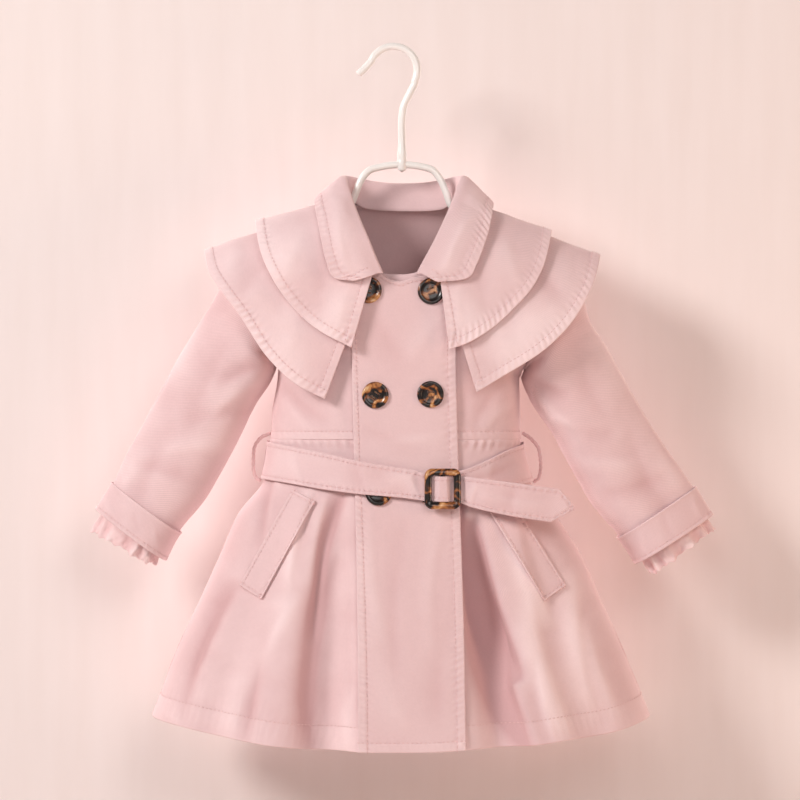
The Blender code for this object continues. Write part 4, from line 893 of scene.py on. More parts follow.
def sleeve_places(side_name, stations, inset, sides):
    """Rings round a sleeve at places along its table, some distance in from its face."""
    rows = np.asarray(SLEEVES[side_name], float)
    steps = np.arange(len(rows))
    at = np.asarray(stations, float)[None, :]
    outer_x, outer_z, inner_x, inner_z, half = (smooth(steps, rows[:, k], at) for k in range(5))
    across_x, across_z = inner_x - outer_x, inner_z - outer_z
    length = np.hypot(across_x, across_z)
    across_x, across_z = across_x / length, across_z / length
    mirror = 1 if side_name == "left" else -1
    away_x, away_z = across_z * mirror, -across_x * mirror
    seam = np.maximum(0.0, 1 - at) * SEAM_GAP * 1.5
    turn = (2 * math.pi * np.arange(sides) / sides)[:, None]
    t = (1 - np.cos(turn)) / 2
    x = mix(outer_x + across_x * inset, inner_x - across_x * inset, t) + away_x * seam
    z = mix(outer_z + across_z * inset, inner_z - across_z * inset, t) + away_z * seam
    lift = np.sin(turn) + 0 * at
    form_share = np.maximum(0.0, 1 - at / 1.5) ** 2
    plain = (half - inset) * np.abs(lift) ** 0.9 * np.where(lift > 0, 0.7 + 0.62 * t, 1.0)
    form = np.where(lift > 0, depth(x, z, FRONT, inset=inset), depth(x, z, BACK, inset=inset))
    form = np.where(np.abs(lift) > 0.01, form, 0.0)
    side = np.where(lift > 0, FRONT, BACK)
    return np.stack((x, side * mix(plain, form, form_share), z), -1)


def make_sleeves(look):
    last, row_length = 8.0, 25.0
    for side_name, seed in (("left", 61), ("right", 66)):
        end = last - CUFF_DROP / row_length
        sides = 120
        grid = sleeve_places(side_name, shares(200, 2.2) * end, 0.0, sides)
        x, z = grid[..., 0], grid[..., 2]
        _, _, along, _ = spans(grid)
        back_half = 400 * (grid[..., 1] > 0)
        height = 0.6 * murmur(x, z + back_half, 28, seed) + 0.22 * murmur(x, z + back_half, 9, seed + 4)
        front, back = creases(x, z, SLEEVE_CREASES[side_name]), creases(x, z, SLEEVE_BACK_CREASES[side_name])
        height += np.where(grid[..., 1] < 0, front, back) * ramp(0, 25, along)
        height = np.where(along > along.max() - 40, np.minimum(height, 0.45), height)
        cloth(f"{side_name}_sleeve", f"sleeve_{side_name}", grid, look, height, closed=True, hub="ring")
        grid = sleeve_places(side_name, 7.0 + shares(25, 1.0, HEM_PLACES[:3], HEM_PLACES[:5]),
                             -(CUFF_GAP + CLOTH), sides)
        first, _, down, up = spans(grid)
        run = first[:, -1:] + 0 * up
        x, z = grid[..., 0], grid[..., 2]
        height = stitched_edge(up, run, seed + 1, 3.0, 0.3, 0.3, 5.5)
        height += 0.5 * np.exp(-((down / 1.4) ** 2)) + 0.3 * murmur(x, z, 14, seed + 2)
        height += creases(x, z, CUFF_CREASES[side_name]) * (grid[..., 1] < 0)
        made = cloth(f"{side_name}_cuff", f"cuff_{side_name}", grid, look, height, closed=True, hub="ring")
        sew_along(made, "high", 3.0)


def make_frills(look):
    last, row_length = 8.0, 25.0
    for side_name, seed in (("left", 71), ("right", 74)):
        rows = np.asarray(SLEEVES[side_name], float)
        step = rows[-1] - rows[-2]
        sides, reach = 340, shares(24, 1.0)
        turns = np.arange(sides) * 2 * math.pi / sides
        grid = sleeve_places(side_name, np.minimum(last - FRILL_RISE / row_length + reach * 0.96, last),
                             CLOTH + 2.3, sides)
        longer = 0.3 * np.cos(turns) if side_name == "left" else -0.1 * np.cos(turns)
        drop = FRILL_DROP * (1.0 + longer + 0.13 * murmur(turns * 26, 0, 7, seed) + 0.05 * np.sin(23 * turns + 2))
        beyond = np.maximum(reach - 0.48, 0) / 0.52 * drop[:, None] / row_length
        grid[..., 0] += beyond * (step[0] + step[2]) / 2
        grid[..., 2] += beyond * (step[1] + step[3]) / 2
        grown = mix(0.15, 1.0, reach ** 1.3)[None, :]
        lag = 1.7 * murmur(turns * 26, 0, 15, seed + 1)
        ripple = np.sin(FRILL_WAVES * turns + lag) + FRILL_SLOW_SHARE * np.sin(FRILL_SLOW_WAVES * turns + 1)
        crimp = 1.1 * murmur(turns[:, None] * 26, reach[None, :] * 12, 4.2, seed + 2)
        crimp += 0.55 * murmur(turns[:, None] * 26 + reach[None, :] * 4, reach[None, :] * 18, 1.9, seed + 3)
        height = (ripple[:, None] * FRILL_WAVE * 0.8 + crimp) * grown
        cloth(f"{side_name}_frill", f"frill_{side_name}", grid, look, height, thick=0.4, closed=True,
              hub="ring", slot="pale_frill")


def belt_places(table, xs, side, rows):
    """A belt's outer face over the body. Past 100 mm it turns round the side."""
    table = np.asarray(table, float)
    low, high = float(torso("left", BELT_Z)), float(torso("right", BELT_Z))
    middle, half = (low + high) / 2, (high - low) / 2
    xs = np.asarray(xs, float)[:, None]
    top, bottom, off = (smooth(table[:, 0], table[:, k], xs) for k in (1, 2, 3))
    share = np.clip((xs - middle) / half, -1, 1)
    z = mix(bottom, top, rows[None, :])
    out = off + CLOTH
    shared_x = mix(torso("left", z) - out, torso("right", z) + out, (share + 1) / 2)
    x = mix(xs, shared_x, np.abs(share) ** 3)
    points = [face(x[k], z[k], side, off=float(out[k, 0])) for k in range(len(xs))]
    return np.stack(points)


def make_belt(look):
    rows = shares(28, 1.5, HEM_PLACES[:4], HEM_PLACES[:4])
    side_xs = np.concatenate((np.linspace(-108, -99.8, 5), np.linspace(-99.2, -94, 7), np.linspace(-92, -76, 9)))

    def belt_height(grid, seed):
        start, _, low, high = spans(grid)
        height = stitched_edge(low, start, seed, 2.9, 0.1, 0.42, 5.0)
        height += stitched_edge(high, start, seed + 1, 2.9, 0.1, 0.42, 5.4)
        height += 0.7 * murmur(start, low, 17, seed + 2) * ramp(0, 6, np.minimum(low, high))
        return height

    xs = np.concatenate((side_xs, np.arange(-75, 23, 1.2), np.arange(24, 54.6, 0.9)))
    grid = belt_places(STRAP, xs, FRONT, rows)
    tail = np.concatenate((path(TAIL_RUN, shares(70, 1.2)), mix(TAIL_RUN[-1], TAIL_TIP, shares(15, 1.0)[1:, None])))
    x = mix(tail[:, 2:3], tail[:, 0:1], rows[None, :])
    z = mix(tail[:, 3:4], tail[:, 1:2], rows[None, :])
    grid = np.concatenate((grid, np.stack((x, tail[:, 4:5] + 0 * x, z), -1)))
    start, end, low, high = spans(grid)
    height = belt_height(grid, 81) + stitched_edge(end, low, 84, 2.7, 0.1, 0.2)
    in_window = np.exp(-(((grid[..., 0] - 38.6) / 5.5) ** 2))
    height = height * (1 - 0.8 * in_window) + creases(grid[..., 0], grid[..., 2], BELT_CREASES)
    made = cloth("belt_strap_and_tail", "belt_strap", grid, look, height)
    sew_along(made, "low", 2.9)
    sew_along(made, "high", 2.9)
    sew_along(made, "end", 2.7, skip=6)
    xs = np.concatenate((np.arange(44, 92, 1.2), np.arange(93, 104.5, 0.8), [106, 108, 110, 112]))
    grid = belt_places(BELT_RIGHT, xs, FRONT, rows)
    height = belt_height(grid, 86) + creases(grid[..., 0], grid[..., 2], BELT_RIGHT_CREASES)
    made = cloth("belt_right_stretch", "belt_right", grid, look, height)
    sew_along(made, "low", 2.9)
    sew_along(made, "high", 2.9)
    xs = np.concatenate((side_xs, np.arange(-74, 96, 2.2), np.arange(97, 104.5, 0.8), [106, 108, 110, 112]))
    grid = belt_places(BELT_BACK, xs, BACK, rows)
    height = belt_height(grid, 88)
    made = cloth("belt_round_the_back", "belt_back", grid, look, height)
    sew_along(made, "low", 2.9)
    sew_along(made, "high", 2.9)


TAIL_RUN = np.array(TAIL[:3] + ((130.3, -350.0, 123.0, -375.2, -57.3),))
TAIL_TIP = np.array((141.6, -363.2, 140.2, -366.4, -56.2))


def make_pockets(look):
    for side_name, seed in (("left", 91), ("right", 93)):
        inner_top, outer_top, outer_low, inner_low = (np.array(c) for c in POCKETS[side_name])
        u, v = shares(20, 1.4, HEM_PLACES[:4], HEM_PLACES[:4]), shares(84, 1.25, HEM_PLACES[:4], HEM_PLACES[:4])
        low = mix(inner_low, outer_low, u[:, None])[:, None, :]
        high = mix(inner_top, outer_top, u[:, None])[:, None, :]
        place = mix(low, high, v[None, :, None])
        x, z = place[..., 0], place[..., 1]
        grid = face(x, z, FRONT, off=CLOTH + POCKET_GAP, folded=True)
        grid[..., 1] -= creases(x, z, SKIRT_CREASES[(side_name, "front")])
        first, last, bottom, top = spans(grid)
        height = np.zeros(grid.shape[:2])
        for k, (d, s) in enumerate(((first, bottom), (last, bottom), (bottom, first), (top, first))):
            height += stitched_edge(d, s, seed + k, 2.4, 0.12, 0.36, 5.0)
        height += 0.8 * np.exp(-((first / 2.2) ** 2)) * np.sin(math.pi * np.clip(bottom / 82, 0, 1))
        made = cloth(f"{side_name}_pocket_welt", f"pocket_{side_name}", grid, look, height)
        for side in ("start", "end", "low", "high"):
            sew_along(made, side, 2.4)


def tube(name, points, radius, look, sides=20, twist=None):
    """A closed round tube along a line near the hanger's plane, with an optional rope-like surface."""
    points = np.asarray(points, float)
    tangents = np.gradient(points, axis=0)
    tangents /= np.linalg.norm(tangents, axis=1, keepdims=True)
    beside = np.cross(tangents, [0.0, 1.0, 0.0])
    beside /= np.linalg.norm(beside, axis=1, keepdims=True)
    up = np.cross(beside, tangents)
    turn = 2 * math.pi * np.arange(sides) / sides
    radius = np.broadcast_to(radius, len(points))[:, None] * np.ones(sides)[None, :]
    if twist is not None:
        count, length = twist
        along = np.linspace(0, 1, len(points))[:, None] * length
        radius = radius * (1 + 0.13 * np.cos(count * turn[None, :] + along))
    ring = points[:, None, :] + radius[..., None] * (np.cos(turn)[None, :, None] * beside[:, None, :]
                                                     + np.sin(turn)[None, :, None] * up[:, None, :])
    vertices = list(ring.reshape(-1, 3)) + [points[0] - tangents[0] * radius[0, 0] * 0.5,
                                            points[-1] + tangents[-1] * radius[-1, 0] * 0.5]
    faces = []
    for i in range(len(points) - 1):
        for k in range(sides):
            after = (k + 1) % sides
            faces.append((i * sides + k, i * sides + after, (i + 1) * sides + after, (i + 1) * sides + k))
    last, low_pole = (len(points) - 1) * sides, len(points) * sides
    for k in range(sides):
        after = (k + 1) % sides
        faces.append((low_pole, after, k))
        faces.append((low_pole + 1, last + k, last + after))
    return make_mesh(name, vertices, faces, look)


def in_plane(points):
    points = np.asarray(points, float)
    return np.stack((points[:, 0], 0 * points[:, 0], points[:, 1]), -1)


def make_loops(look):
    for side_name, places in LOOPS.items():
        line = in_plane(path(places, np.linspace(0, 1, 90)))
        loop = tube(f"belt_loop_{side_name}", line, LOOP_RADIUS * 1.25, look, 16, (3, 70.0))
        seat(loop, "pink_twill", f"loop_{side_name}")


def make_hanger(look):
    turns = np.radians(np.linspace(155, -25, 70))
    hook = [np.array([[HOOK_TIP[0], HOOK_TIP[1]], [-25.4, -16.4], [-23.2, -14.2]])]
    arc = np.stack((HOOK_RADIUS * np.cos(turns), HOOK_CENTRE_Z + HOOK_RADIUS * np.sin(turns)), -1)
    line = np.concatenate((hook[0][:1], arc, path(STEM, np.linspace(0, 1, 60))[1:]))
    line = path(line, np.linspace(0, 1, 220))
    radius = WIRE_RADIUS + (FERRULE_RADIUS - WIRE_RADIUS) * ramp(0, 10, FERRULE_TOP_Z - line[:, 1])
    radius = np.where(line[:, 0] < -10, WIRE_RADIUS, radius)
    parts = [tube("hanger_hook_and_stem", in_plane(line), radius, look, 28)]
    places = []
    for points, end in ((ARM_LEFT, ARM_ENDS[0]), (ARM_RIGHT, ARM_ENDS[1])):
        bend = path(points, np.linspace(0, 1, 50))
        xs = np.linspace(mix(points[-1][0], end, 0.04), end, 60)
        places.append(np.concatenate((bend, np.stack((xs, ridge("bodice", xs) - ARM_DROP), -1))))
    line = np.concatenate((places[0][::-1], [[6.8, -91.6]], places[1]))
    line = path(line, np.linspace(0, 1, 300))
    parts.append(tube("hanger_arms", in_plane(line), WIRE_RADIUS, look, 28))
    bead = [np.array([6.8, 0.0, z]) for z in np.linspace(-86.5, -96.2, 14)]
    swell = FERRULE_RADIUS * (0.92 + 0.16 * np.sin(np.linspace(0, math.pi, 14)))
    parts.append(tube("hanger_joint", bead, swell, look, 28))
    seat(parts[0], "white_coating", "hanger")
    seat(parts[1], "white_coating")
    seat(parts[2], "white_coating")


def make_buckle(look):
    """The buckle: a softly rounded frame with a bar across its window, bent to the coat's front."""
    section = [(1 - math.cos(a)) / 2 for a in np.linspace(0, math.pi, 15)]
    heights = [math.sin(a) ** 0.55 for a in np.linspace(0, math.pi, 15)]
    ring_places, rings = 18, []
    for across, up in list(zip(section, heights)) + [(0.7, -0.02), (0.3, -0.02)]:
        inset = across * BUCKLE_BAR
        x_span = (BUCKLE_X[0] + inset, BUCKLE_X[1] - inset)
        z_span = (BUCKLE_Z[0] + inset, BUCKLE_Z[1] - inset)
        radius, ring = mix(6.0, 2.0, across), []
        for right, high, start in ((1, 1, 0), (0, 1, 90), (0, 0, 180), (1, 0, 270)):
            centre_x = x_span[right] + (-radius if right else radius)
            centre_z = z_span[high] + (-radius if high else radius)
            for turn in np.radians(np.linspace(start, start + 90, ring_places)):
                ring.append((centre_x + radius * math.cos(turn), centre_z + radius * math.sin(turn)))
        ring = np.array(ring)
        wave = 0.25 * np.sin(np.linspace(0, 2 * math.pi, len(ring)) * 3)
        rings.append(face(ring[:, 0], ring[:, 1], FRONT, off=BUCKLE_OFF + up * BUCKLE_THICK)
                     - np.array([0, 1, 0]) * (wave * up)[:, None])
    count, faces = len(rings[0]), []
    for i in range(len(rings)):
        after = (i + 1) % len(rings)
        for j in range(count):
            nxt = (j + 1) % count
            faces.append((i * count + j, after * count + j, after * count + nxt, i * count + nxt))
    seat(make_mesh("belt_buckle_frame", np.concatenate(rings), faces, look), "tortoiseshell", "buckle")
    middle, half = sum(BUCKLE_X) / 2, BUCKLE_BAR / 2
    zs = np.linspace(BUCKLE_Z[0] + half, BUCKLE_Z[1] - half, 30)
    line = face(np.full(30, middle), zs, FRONT, off=sum(CENTRE_BAR_OFF) / 2)
    tangents = np.gradient(line, axis=0)
    tangents /= np.linalg.norm(tangents, axis=1, keepdims=True)
    turn = 2 * math.pi * np.arange(16) / 16
    out = np.cross(tangents, [1.0, 0.0, 0.0])
    wide, deep = CENTRE_BAR_WIDTH / 2, (CENTRE_BAR_OFF[1] - CENTRE_BAR_OFF[0]) / 2
    bar = line[:, None, :] + wide * np.cos(turn)[None, :, None] * np.array([1.0, 0, 0])
    bar = (bar + deep * np.sin(turn)[None, :, None] * out[:, None, :]).reshape(-1, 3)
    faces = [tuple(range(16)), tuple(29 * 16 + k for k in reversed(range(16)))]
    for i in range(29):
        for k in range(16):
            after = (k + 1) % 16
            faces.append((i * 16 + k, i * 16 + after, (i + 1) * 16 + after, (i + 1) * 16 + k))
    seat(make_mesh("belt_buckle_bar", bar, faces, look), "tortoiseshell")


def make_buttons(look, thread_look):
    """Four-hole buttons: a turned disc with a raised rim and a dished middle, drilled and sewn on."""
    profile = ((0.0, 0.0), (0.86, 0.0), (0.97, 0.12), (1.0, 0.4), (0.985, 0.7), (0.94, 0.9), (0.87, 1.0),
               (0.8, 0.99), (0.74, 0.9), (0.69, 0.76), (0.64, 0.66), (0.5, 0.6), (0.0, 0.58))
    sides, hole_out, hole_radius = 64, 2.1, 0.95
    for number, (x, z) in enumerate(BUTTONS, start=1):
        span = BUTTON_SPAN
        spots = face(np.array([x, x - span, x + span, x, x]), np.array([z, z, z, z - span, z + span]), FRONT,
                     off=BUTTON_OFF)
        centre, right, up = spots[0], spots[2] - spots[1], spots[4] - spots[3]
        right /= np.linalg.norm(right)
        out = np.cross(up, right)
        out *= -np.sign(out[1]) / np.linalg.norm(out)
        up = np.cross(right, out)
        tilt = math.radians((12, -20, 35, 8, -14, 27)[number - 1])
        right, up = right * math.cos(tilt) + up * math.sin(tilt), up * math.cos(tilt) - right * math.sin(tilt)
        turn = 2 * math.pi * np.arange(sides) / sides
        points, faces = [centre], []
        for radius, height in profile[1:-1]:
            spread = np.cos(turn)[:, None] * right + np.sin(turn)[:, None] * up
            points.extend(centre + spread * radius * BUTTON_RADIUS + out * height * BUTTON_THICK)
        points.append(centre + out * profile[-1][1] * BUTTON_THICK)
        rings = len(profile) - 2
        for k in range(sides):
            after = (k + 1) % sides
            faces.append((0, 1 + after, 1 + k))
            for i in range(rings - 1):
                a, b = 1 + i * sides, 1 + (i + 1) * sides
                faces.append((a + k, a + after, b + after, b + k))
            top = 1 + (rings - 1) * sides
            faces.append((top + k, top + after, len(points) - 1))
        disc = make_mesh(f"shell_button_{number}", points, faces, look)
        drills, corners = [], [(1, 1), (-1, 1), (-1, -1), (1, -1)]
        holes = [centre + (right * a + up * b) * hole_out for a, b in corners]
        for hole in holes:
            ring = [hole + (right * math.cos(t) + up * math.sin(t)) * hole_radius for t in turn[::4]]
            count = len(ring)
            low, high = [p - out * 2 for p in ring], [p + out * 4 for p in ring]
            quads = [(k, (k + 1) % count, count + (k + 1) % count, count + k) for k in range(count)]
            quads += [tuple(reversed(range(count))), tuple(range(count, 2 * count))]
            drills.append(make_mesh(f"drill_{number}_{len(drills)}", low + high, quads, look))
        for drill in drills:
            cut = disc.modifiers.new("drill", "BOOLEAN")
            cut.operation, cut.object, cut.solver = "DIFFERENCE", drill, "EXACT"
        bake_down(disc)
        for drill in drills:
            bpy.data.objects.remove(drill)
        disc.data.set_sharp_from_angle(angle=math.radians(35))
        seat(disc, "tortoiseshell", f"button_{number}")
        for k, (a, b) in enumerate(((0, 1), (3, 2))):
            s = np.linspace(0, 1, 15)[:, None]
            line = mix(holes[a], holes[b], s) + out * (0.5 + 1.2 * np.sin(math.pi * s) ** 0.5)
            line[0], line[-1] = holes[a] - out * 0.2, holes[b] - out * 0.2
            seat(round_line(f"button_thread_{number}_{k + 1}", line, 0.55, thread_look, out), "pink_twill")


def round_line(name, points, radius, look, across):
    """A short closed tube along a line, turned about a given direction."""
    points = np.asarray(points, float)
    tangents = np.gradient(points, axis=0)
    tangents /= np.linalg.norm(tangents, axis=1, keepdims=True)
    beside = np.cross(tangents, across)
    beside /= np.linalg.norm(beside, axis=1, keepdims=True)
    up = np.cross(beside, tangents)
    turn = 2 * math.pi * np.arange(10) / 10
    ring = points[:, None, :] + radius * (np.cos(turn)[None, :, None] * beside[:, None, :]
                                          + np.sin(turn)[None, :, None] * up[:, None, :])
    count, faces = len(points), [tuple(range(10)), tuple((len(points) - 1) * 10 + k for k in reversed(range(10)))]
    for i in range(count - 1):
        for k in range(10):
            after = (k + 1) % 10
            faces.append((i * 10 + k, i * 10 + after, (i + 1) * 10 + after, (i + 1) * 10 + k))
    return make_mesh(name, ring.reshape(-1, 3), faces, look)


def bake_down(thing):
    """Turns a piece with its modifiers into a plain mesh."""
    graph = bpy.context.evaluated_depsgraph_get()
    mesh = bpy.data.meshes.new_from_object(thing.evaluated_get(graph))
    thing.modifiers.clear()
    old = thing.data
    thing.data = mesh
    bpy.data.meshes.remove(old)
    mesh.name = thing.name


def link(tree, kind, inputs=(), **settings):
    """Adds a node and joins or sets its inputs by name or number."""
    made = tree.nodes.new(kind)
    for name, value in settings.items():
        setattr(made, name, value)
    for name, value in dict(inputs).items():
        if isinstance(value, bpy.types.NodeSocket):
            tree.links.new(value, made.inputs[name])
        else:
            made.inputs[name].default_value = value
    return made


def stitch_tree():
    """Rows of topstitching: a short thread on every pitch of each seam line, with its slant a little uneven."""
    tree = bpy.data.node_groups.new("topstitching", "GeometryNodeTree")
    sockets = tree.interface
    sockets.new_socket("Seam lines", in_out="INPUT", socket_type="NodeSocketGeometry")
    for name, value in (("Pitch", 0.0034), ("Stitch length", 0.0026), ("Thread radius", 0.00042), ("Slant", 0.12)):
        socket = sockets.new_socket(name, in_out="INPUT", socket_type="NodeSocketFloat")
        socket.default_value = value
    sockets.new_socket("Seed", in_out="INPUT", socket_type="NodeSocketInt").default_value = 7
    sockets.new_socket("Thread", in_out="INPUT", socket_type="NodeSocketMaterial")
    sockets.new_socket("Stitches", in_out="OUTPUT", socket_type="NodeSocketGeometry")
    given = tree.nodes.new("NodeGroupInput").outputs
    curve = link(tree, "GeometryNodeMeshToCurve", {"Mesh": given["Seam lines"]})
    spaced = link(tree, "GeometryNodeResampleCurve", {"Curve": curve.outputs[0], "Length": given["Pitch"]},
                  mode="LENGTH")
    run = tree.nodes.new("GeometryNodeInputTangent")
    negative = link(tree, "ShaderNodeMath", {0: given["Slant"], 1: -1.0}, operation="MULTIPLY")
    low = link(tree, "ShaderNodeCombineXYZ", {k: negative.outputs[0] for k in range(3)})
    high = link(tree, "ShaderNodeCombineXYZ", {k: given["Slant"] for k in range(3)})
    uneven = link(tree, "FunctionNodeRandomValue", {"Min": low.outputs[0], "Max": high.outputs[0],
                                                    "Seed": given["Seed"]}, data_type="FLOAT_VECTOR")
    way = link(tree, "ShaderNodeVectorMath", {0: run.outputs[0], 1: uneven.outputs[0]}, operation="ADD")
    turned = link(tree, "FunctionNodeAlignRotationToVector", {"Vector": way.outputs[0]}, axis="Z")
    half = link(tree, "ShaderNodeMath", {0: given["Stitch length"], 1: 0.5}, operation="MULTIPLY")
    size = link(tree, "ShaderNodeCombineXYZ", {0: given["Thread radius"], 1: given["Thread radius"],
                                               2: half.outputs[0]})
    thread = link(tree, "GeometryNodeMeshIcoSphere", {"Radius": 1.0, "Subdivisions": 1})
    laid = link(tree, "GeometryNodeInstanceOnPoints", {"Points": spaced.outputs[0], "Instance": thread.outputs[0],
                                                       "Rotation": turned.outputs[0], "Scale": size.outputs[0]})
    real = link(tree, "GeometryNodeRealizeInstances", {0: laid.outputs[0]})
    painted = link(tree, "GeometryNodeSetMaterial", {"Geometry": real.outputs[0], "Material": given["Thread"]})
    finished = link(tree, "GeometryNodeSetShadeSmooth", {"Geometry": painted.outputs[0]})
    out = tree.nodes.new("NodeGroupOutput")
    tree.links.new(finished.outputs[0], out.inputs[0])
    return tree


def sew_threads(thread_look):
    points, edges = [], []
    for line in THREAD_LINES:
        first = len(points)
        points.extend((line / 1000).tolist())
        edges.extend((first + k, first + k + 1) for k in range(len(line) - 1))
    mesh = bpy.data.meshes.new("topstitch_threads")
    mesh.from_pydata(points, edges, [])
    threads = bpy.data.objects.new("topstitch_threads", mesh)
    bpy.context.scene.collection.objects.link(threads)
    sewing = threads.modifiers.new("sewing", "NODES")
    sewing.node_group = stitch_tree()
    for socket in sewing.node_group.interface.items_tree:
        if socket.in_out == "INPUT" and socket.name == "Thread":
            sewing[socket.identifier] = thread_look
    bake_down(threads)
    seat(threads, "pink_twill")


def shader(name, **sockets):
    """A new material: its tree, its Principled shader and plain values on the shader's own sockets."""
    material = bpy.data.materials.new(name)
    material.use_nodes = True
    tree = material.node_tree
    principled = tree.nodes["Principled BSDF"]
    for socket, value in sockets.items():
        principled.inputs[socket.replace("_", " ")].default_value = value
    return material, tree, principled


def group_of(name, inputs, outputs):
    tree = bpy.data.node_groups.new(name, "ShaderNodeTree")
    for socket, kind, value in inputs:
        made = tree.interface.new_socket(socket, in_out="INPUT", socket_type=kind)
        if value is not None:
            made.default_value = value
    for socket, kind in outputs:
        tree.interface.new_socket(socket, in_out="OUTPUT", socket_type=kind)
    return tree, tree.nodes.new("NodeGroupInput").outputs, tree.nodes.new("NodeGroupOutput").inputs


def maths(tree, operation, *values):
    return link(tree, "ShaderNodeMath", dict(enumerate(values)), operation=operation).outputs[0]


def twill_weave_group():
    """Slanted twill ribs crossed by finer yarns, over a piece's own flat coordinates in millimetres."""
    tree, given, out = group_of("twill_weave", (("Place", "NodeSocketVector", None), ("Rib", "NodeSocketFloat", 1.1)),
                                (("Height", "NodeSocketFloat"), ("Yarn", "NodeSocketFloat")))
    parts = link(tree, "ShaderNodeSeparateXYZ", {0: given["Place"]}).outputs
    turns = maths(tree, "DIVIDE", 2 * math.pi, given["Rib"])
    slant = maths(tree, "ADD", parts[0], maths(tree, "MULTIPLY", parts[1], 0.8))
    across = maths(tree, "SUBTRACT", maths(tree, "MULTIPLY", parts[1], 1.7), maths(tree, "MULTIPLY", parts[0], 0.5))
    ribs = maths(tree, "SINE", maths(tree, "MULTIPLY", slant, turns))
    yarns = maths(tree, "SINE", maths(tree, "MULTIPLY", across, turns))
    slub = link(tree, "ShaderNodeTexNoise", {"Vector": given["Place"], "Scale": 0.55, "Detail": 2.0}).outputs[0]
    weave = maths(tree, "ADD", maths(tree, "MULTIPLY", ribs, 0.34), maths(tree, "MULTIPLY", yarns, 0.16))
    height = maths(tree, "ADD", maths(tree, "MULTIPLY", slub, 0.5), maths(tree, "ADD", weave, 0.3))
    tree.links.new(height, out["Height"])
    tree.links.new(slub, out["Yarn"])
    return tree


def painted_relief_shade_group():
    """Cloth tone that follows the relief: painted highlight, paler on raised seams and ridges, and painted shade,
    deeper in puckers, creases and troughs, with a soft uneven dye.
    """
    tree, given, out = group_of("painted_relief_shade_tone", (("Place", "NodeSocketVector", None),
                                                ("Relief", "NodeSocketFloat", 0.0), ("Dye", "NodeSocketFloat", 0.2)),
                                (("Tone", "NodeSocketFloat"),))
    broad = link(tree, "ShaderNodeTexNoise", {"Vector": given["Place"], "Scale": 16.0, "Detail": 4.0}).outputs[0]
    fine = link(tree, "ShaderNodeTexNoise", {"Vector": given["Place"], "Scale": 170.0, "Detail": 3.0}).outputs[0]
    uneven = maths(tree, "SUBTRACT", maths(tree, "ADD", broad, maths(tree, "MULTIPLY", fine, 0.6)), 0.8)
    dyed = maths(tree, "MULTIPLY", uneven, given["Dye"])
    # Higher relief is painted paler as highlight, lower relief deeper as shade.
    raised = maths(tree, "MULTIPLY", given["Relief"], 0.2)
    tone = link(tree, "ShaderNodeClamp", {0: maths(tree, "ADD", maths(tree, "ADD", raised, dyed), 0.5)})
    tree.links.new(tone.outputs[0], out["Tone"])
    return tree


def cotton(name, deep, pale, weave, relief_shade, rib=1.1, bump=0.35, sheen=0.25, roughness=0.85):
    material, tree, principled = shader(name, Roughness=roughness, Sheen_Weight=sheen, Sheen_Roughness=0.5,
                                        Specular_IOR_Level=0.25)
    principled.inputs["Sheen Tint"].default_value = (1.0, 0.9, 0.88, 1.0)
    uv = link(tree, "ShaderNodeUVMap", uv_map="cloth").outputs[0]
    place = link(tree, "ShaderNodeTexCoord").outputs["Object"]
    relief = link(tree, "ShaderNodeAttribute", attribute_name="relief").outputs["Fac"]
    woven = link(tree, "ShaderNodeGroup", node_tree=weave)
    tree.links.new(uv, woven.inputs["Place"])
    woven.inputs["Rib"].default_value = rib
    # The tone mixes deep and pale by the relief, as painted shade in low places and painted highlight on high ones, and
    # by an uneven dye.
    tone = link(tree, "ShaderNodeGroup", node_tree=relief_shade)
    tree.links.new(place, tone.inputs["Place"])
    tree.links.new(relief, tone.inputs["Relief"])
    blend = link(tree, "ShaderNodeMix", {"Factor": tone.outputs["Tone"]}, data_type="RGBA")
    blend.inputs["A"].default_value, blend.inputs["B"].default_value = (*deep, 1), (*pale, 1)
    shade = maths(tree, "ADD", maths(tree, "MULTIPLY", woven.outputs["Height"], 0.16), 0.91)
    coloured = link(tree, "ShaderNodeMix", {"Factor": 1.0}, data_type="RGBA", blend_type="MULTIPLY")
    tree.links.new(blend.outputs["Result"], coloured.inputs["A"])
    tree.links.new(link(tree, "ShaderNodeCombineColor", {k: shade for k in range(3)}).outputs[0],
                   coloured.inputs["B"])
    tree.links.new(coloured.outputs["Result"], principled.inputs["Base Color"])
    raised = link(tree, "ShaderNodeBump", {"Strength": bump, "Distance": 0.0004, "Height": woven.outputs["Height"]})
    tree.links.new(raised.outputs[0], principled.inputs["Normal"])
    return material


def tortoiseshell():
    """Mottled shell: dark brown clouds over clear amber with a few cream glints, polished."""
    material, tree, principled = shader("tortoiseshell", Roughness=0.3, Coat_Weight=0.35, Coat_Roughness=0.12,
                                        Specular_IOR_Level=0.4)
    place = link(tree, "ShaderNodeTexCoord").outputs["Object"]
    bend = link(tree, "ShaderNodeTexNoise", {"Vector": place, "Scale": 105.0, "Detail": 2.0, "Distortion": 1.1})
    clouds = link(tree, "ShaderNodeValToRGB", {0: bend.outputs[0]})
    stops = clouds.color_ramp.elements
    stops[0].position, stops[0].color = 0.44, (0.008, 0.004, 0.003, 1)
    stops[1].position, stops[1].color = 0.76, (0.76, 0.50, 0.26, 1)
    for position, colour in ((0.49, (0.05, 0.014, 0.006, 1)), (0.54, (0.24, 0.075, 0.02, 1)),
                             (0.62, (0.48, 0.20, 0.06, 1))):
        stop = stops.new(position)
        stop.color = colour
    tree.links.new(clouds.outputs[0], principled.inputs["Base Color"])
    return material


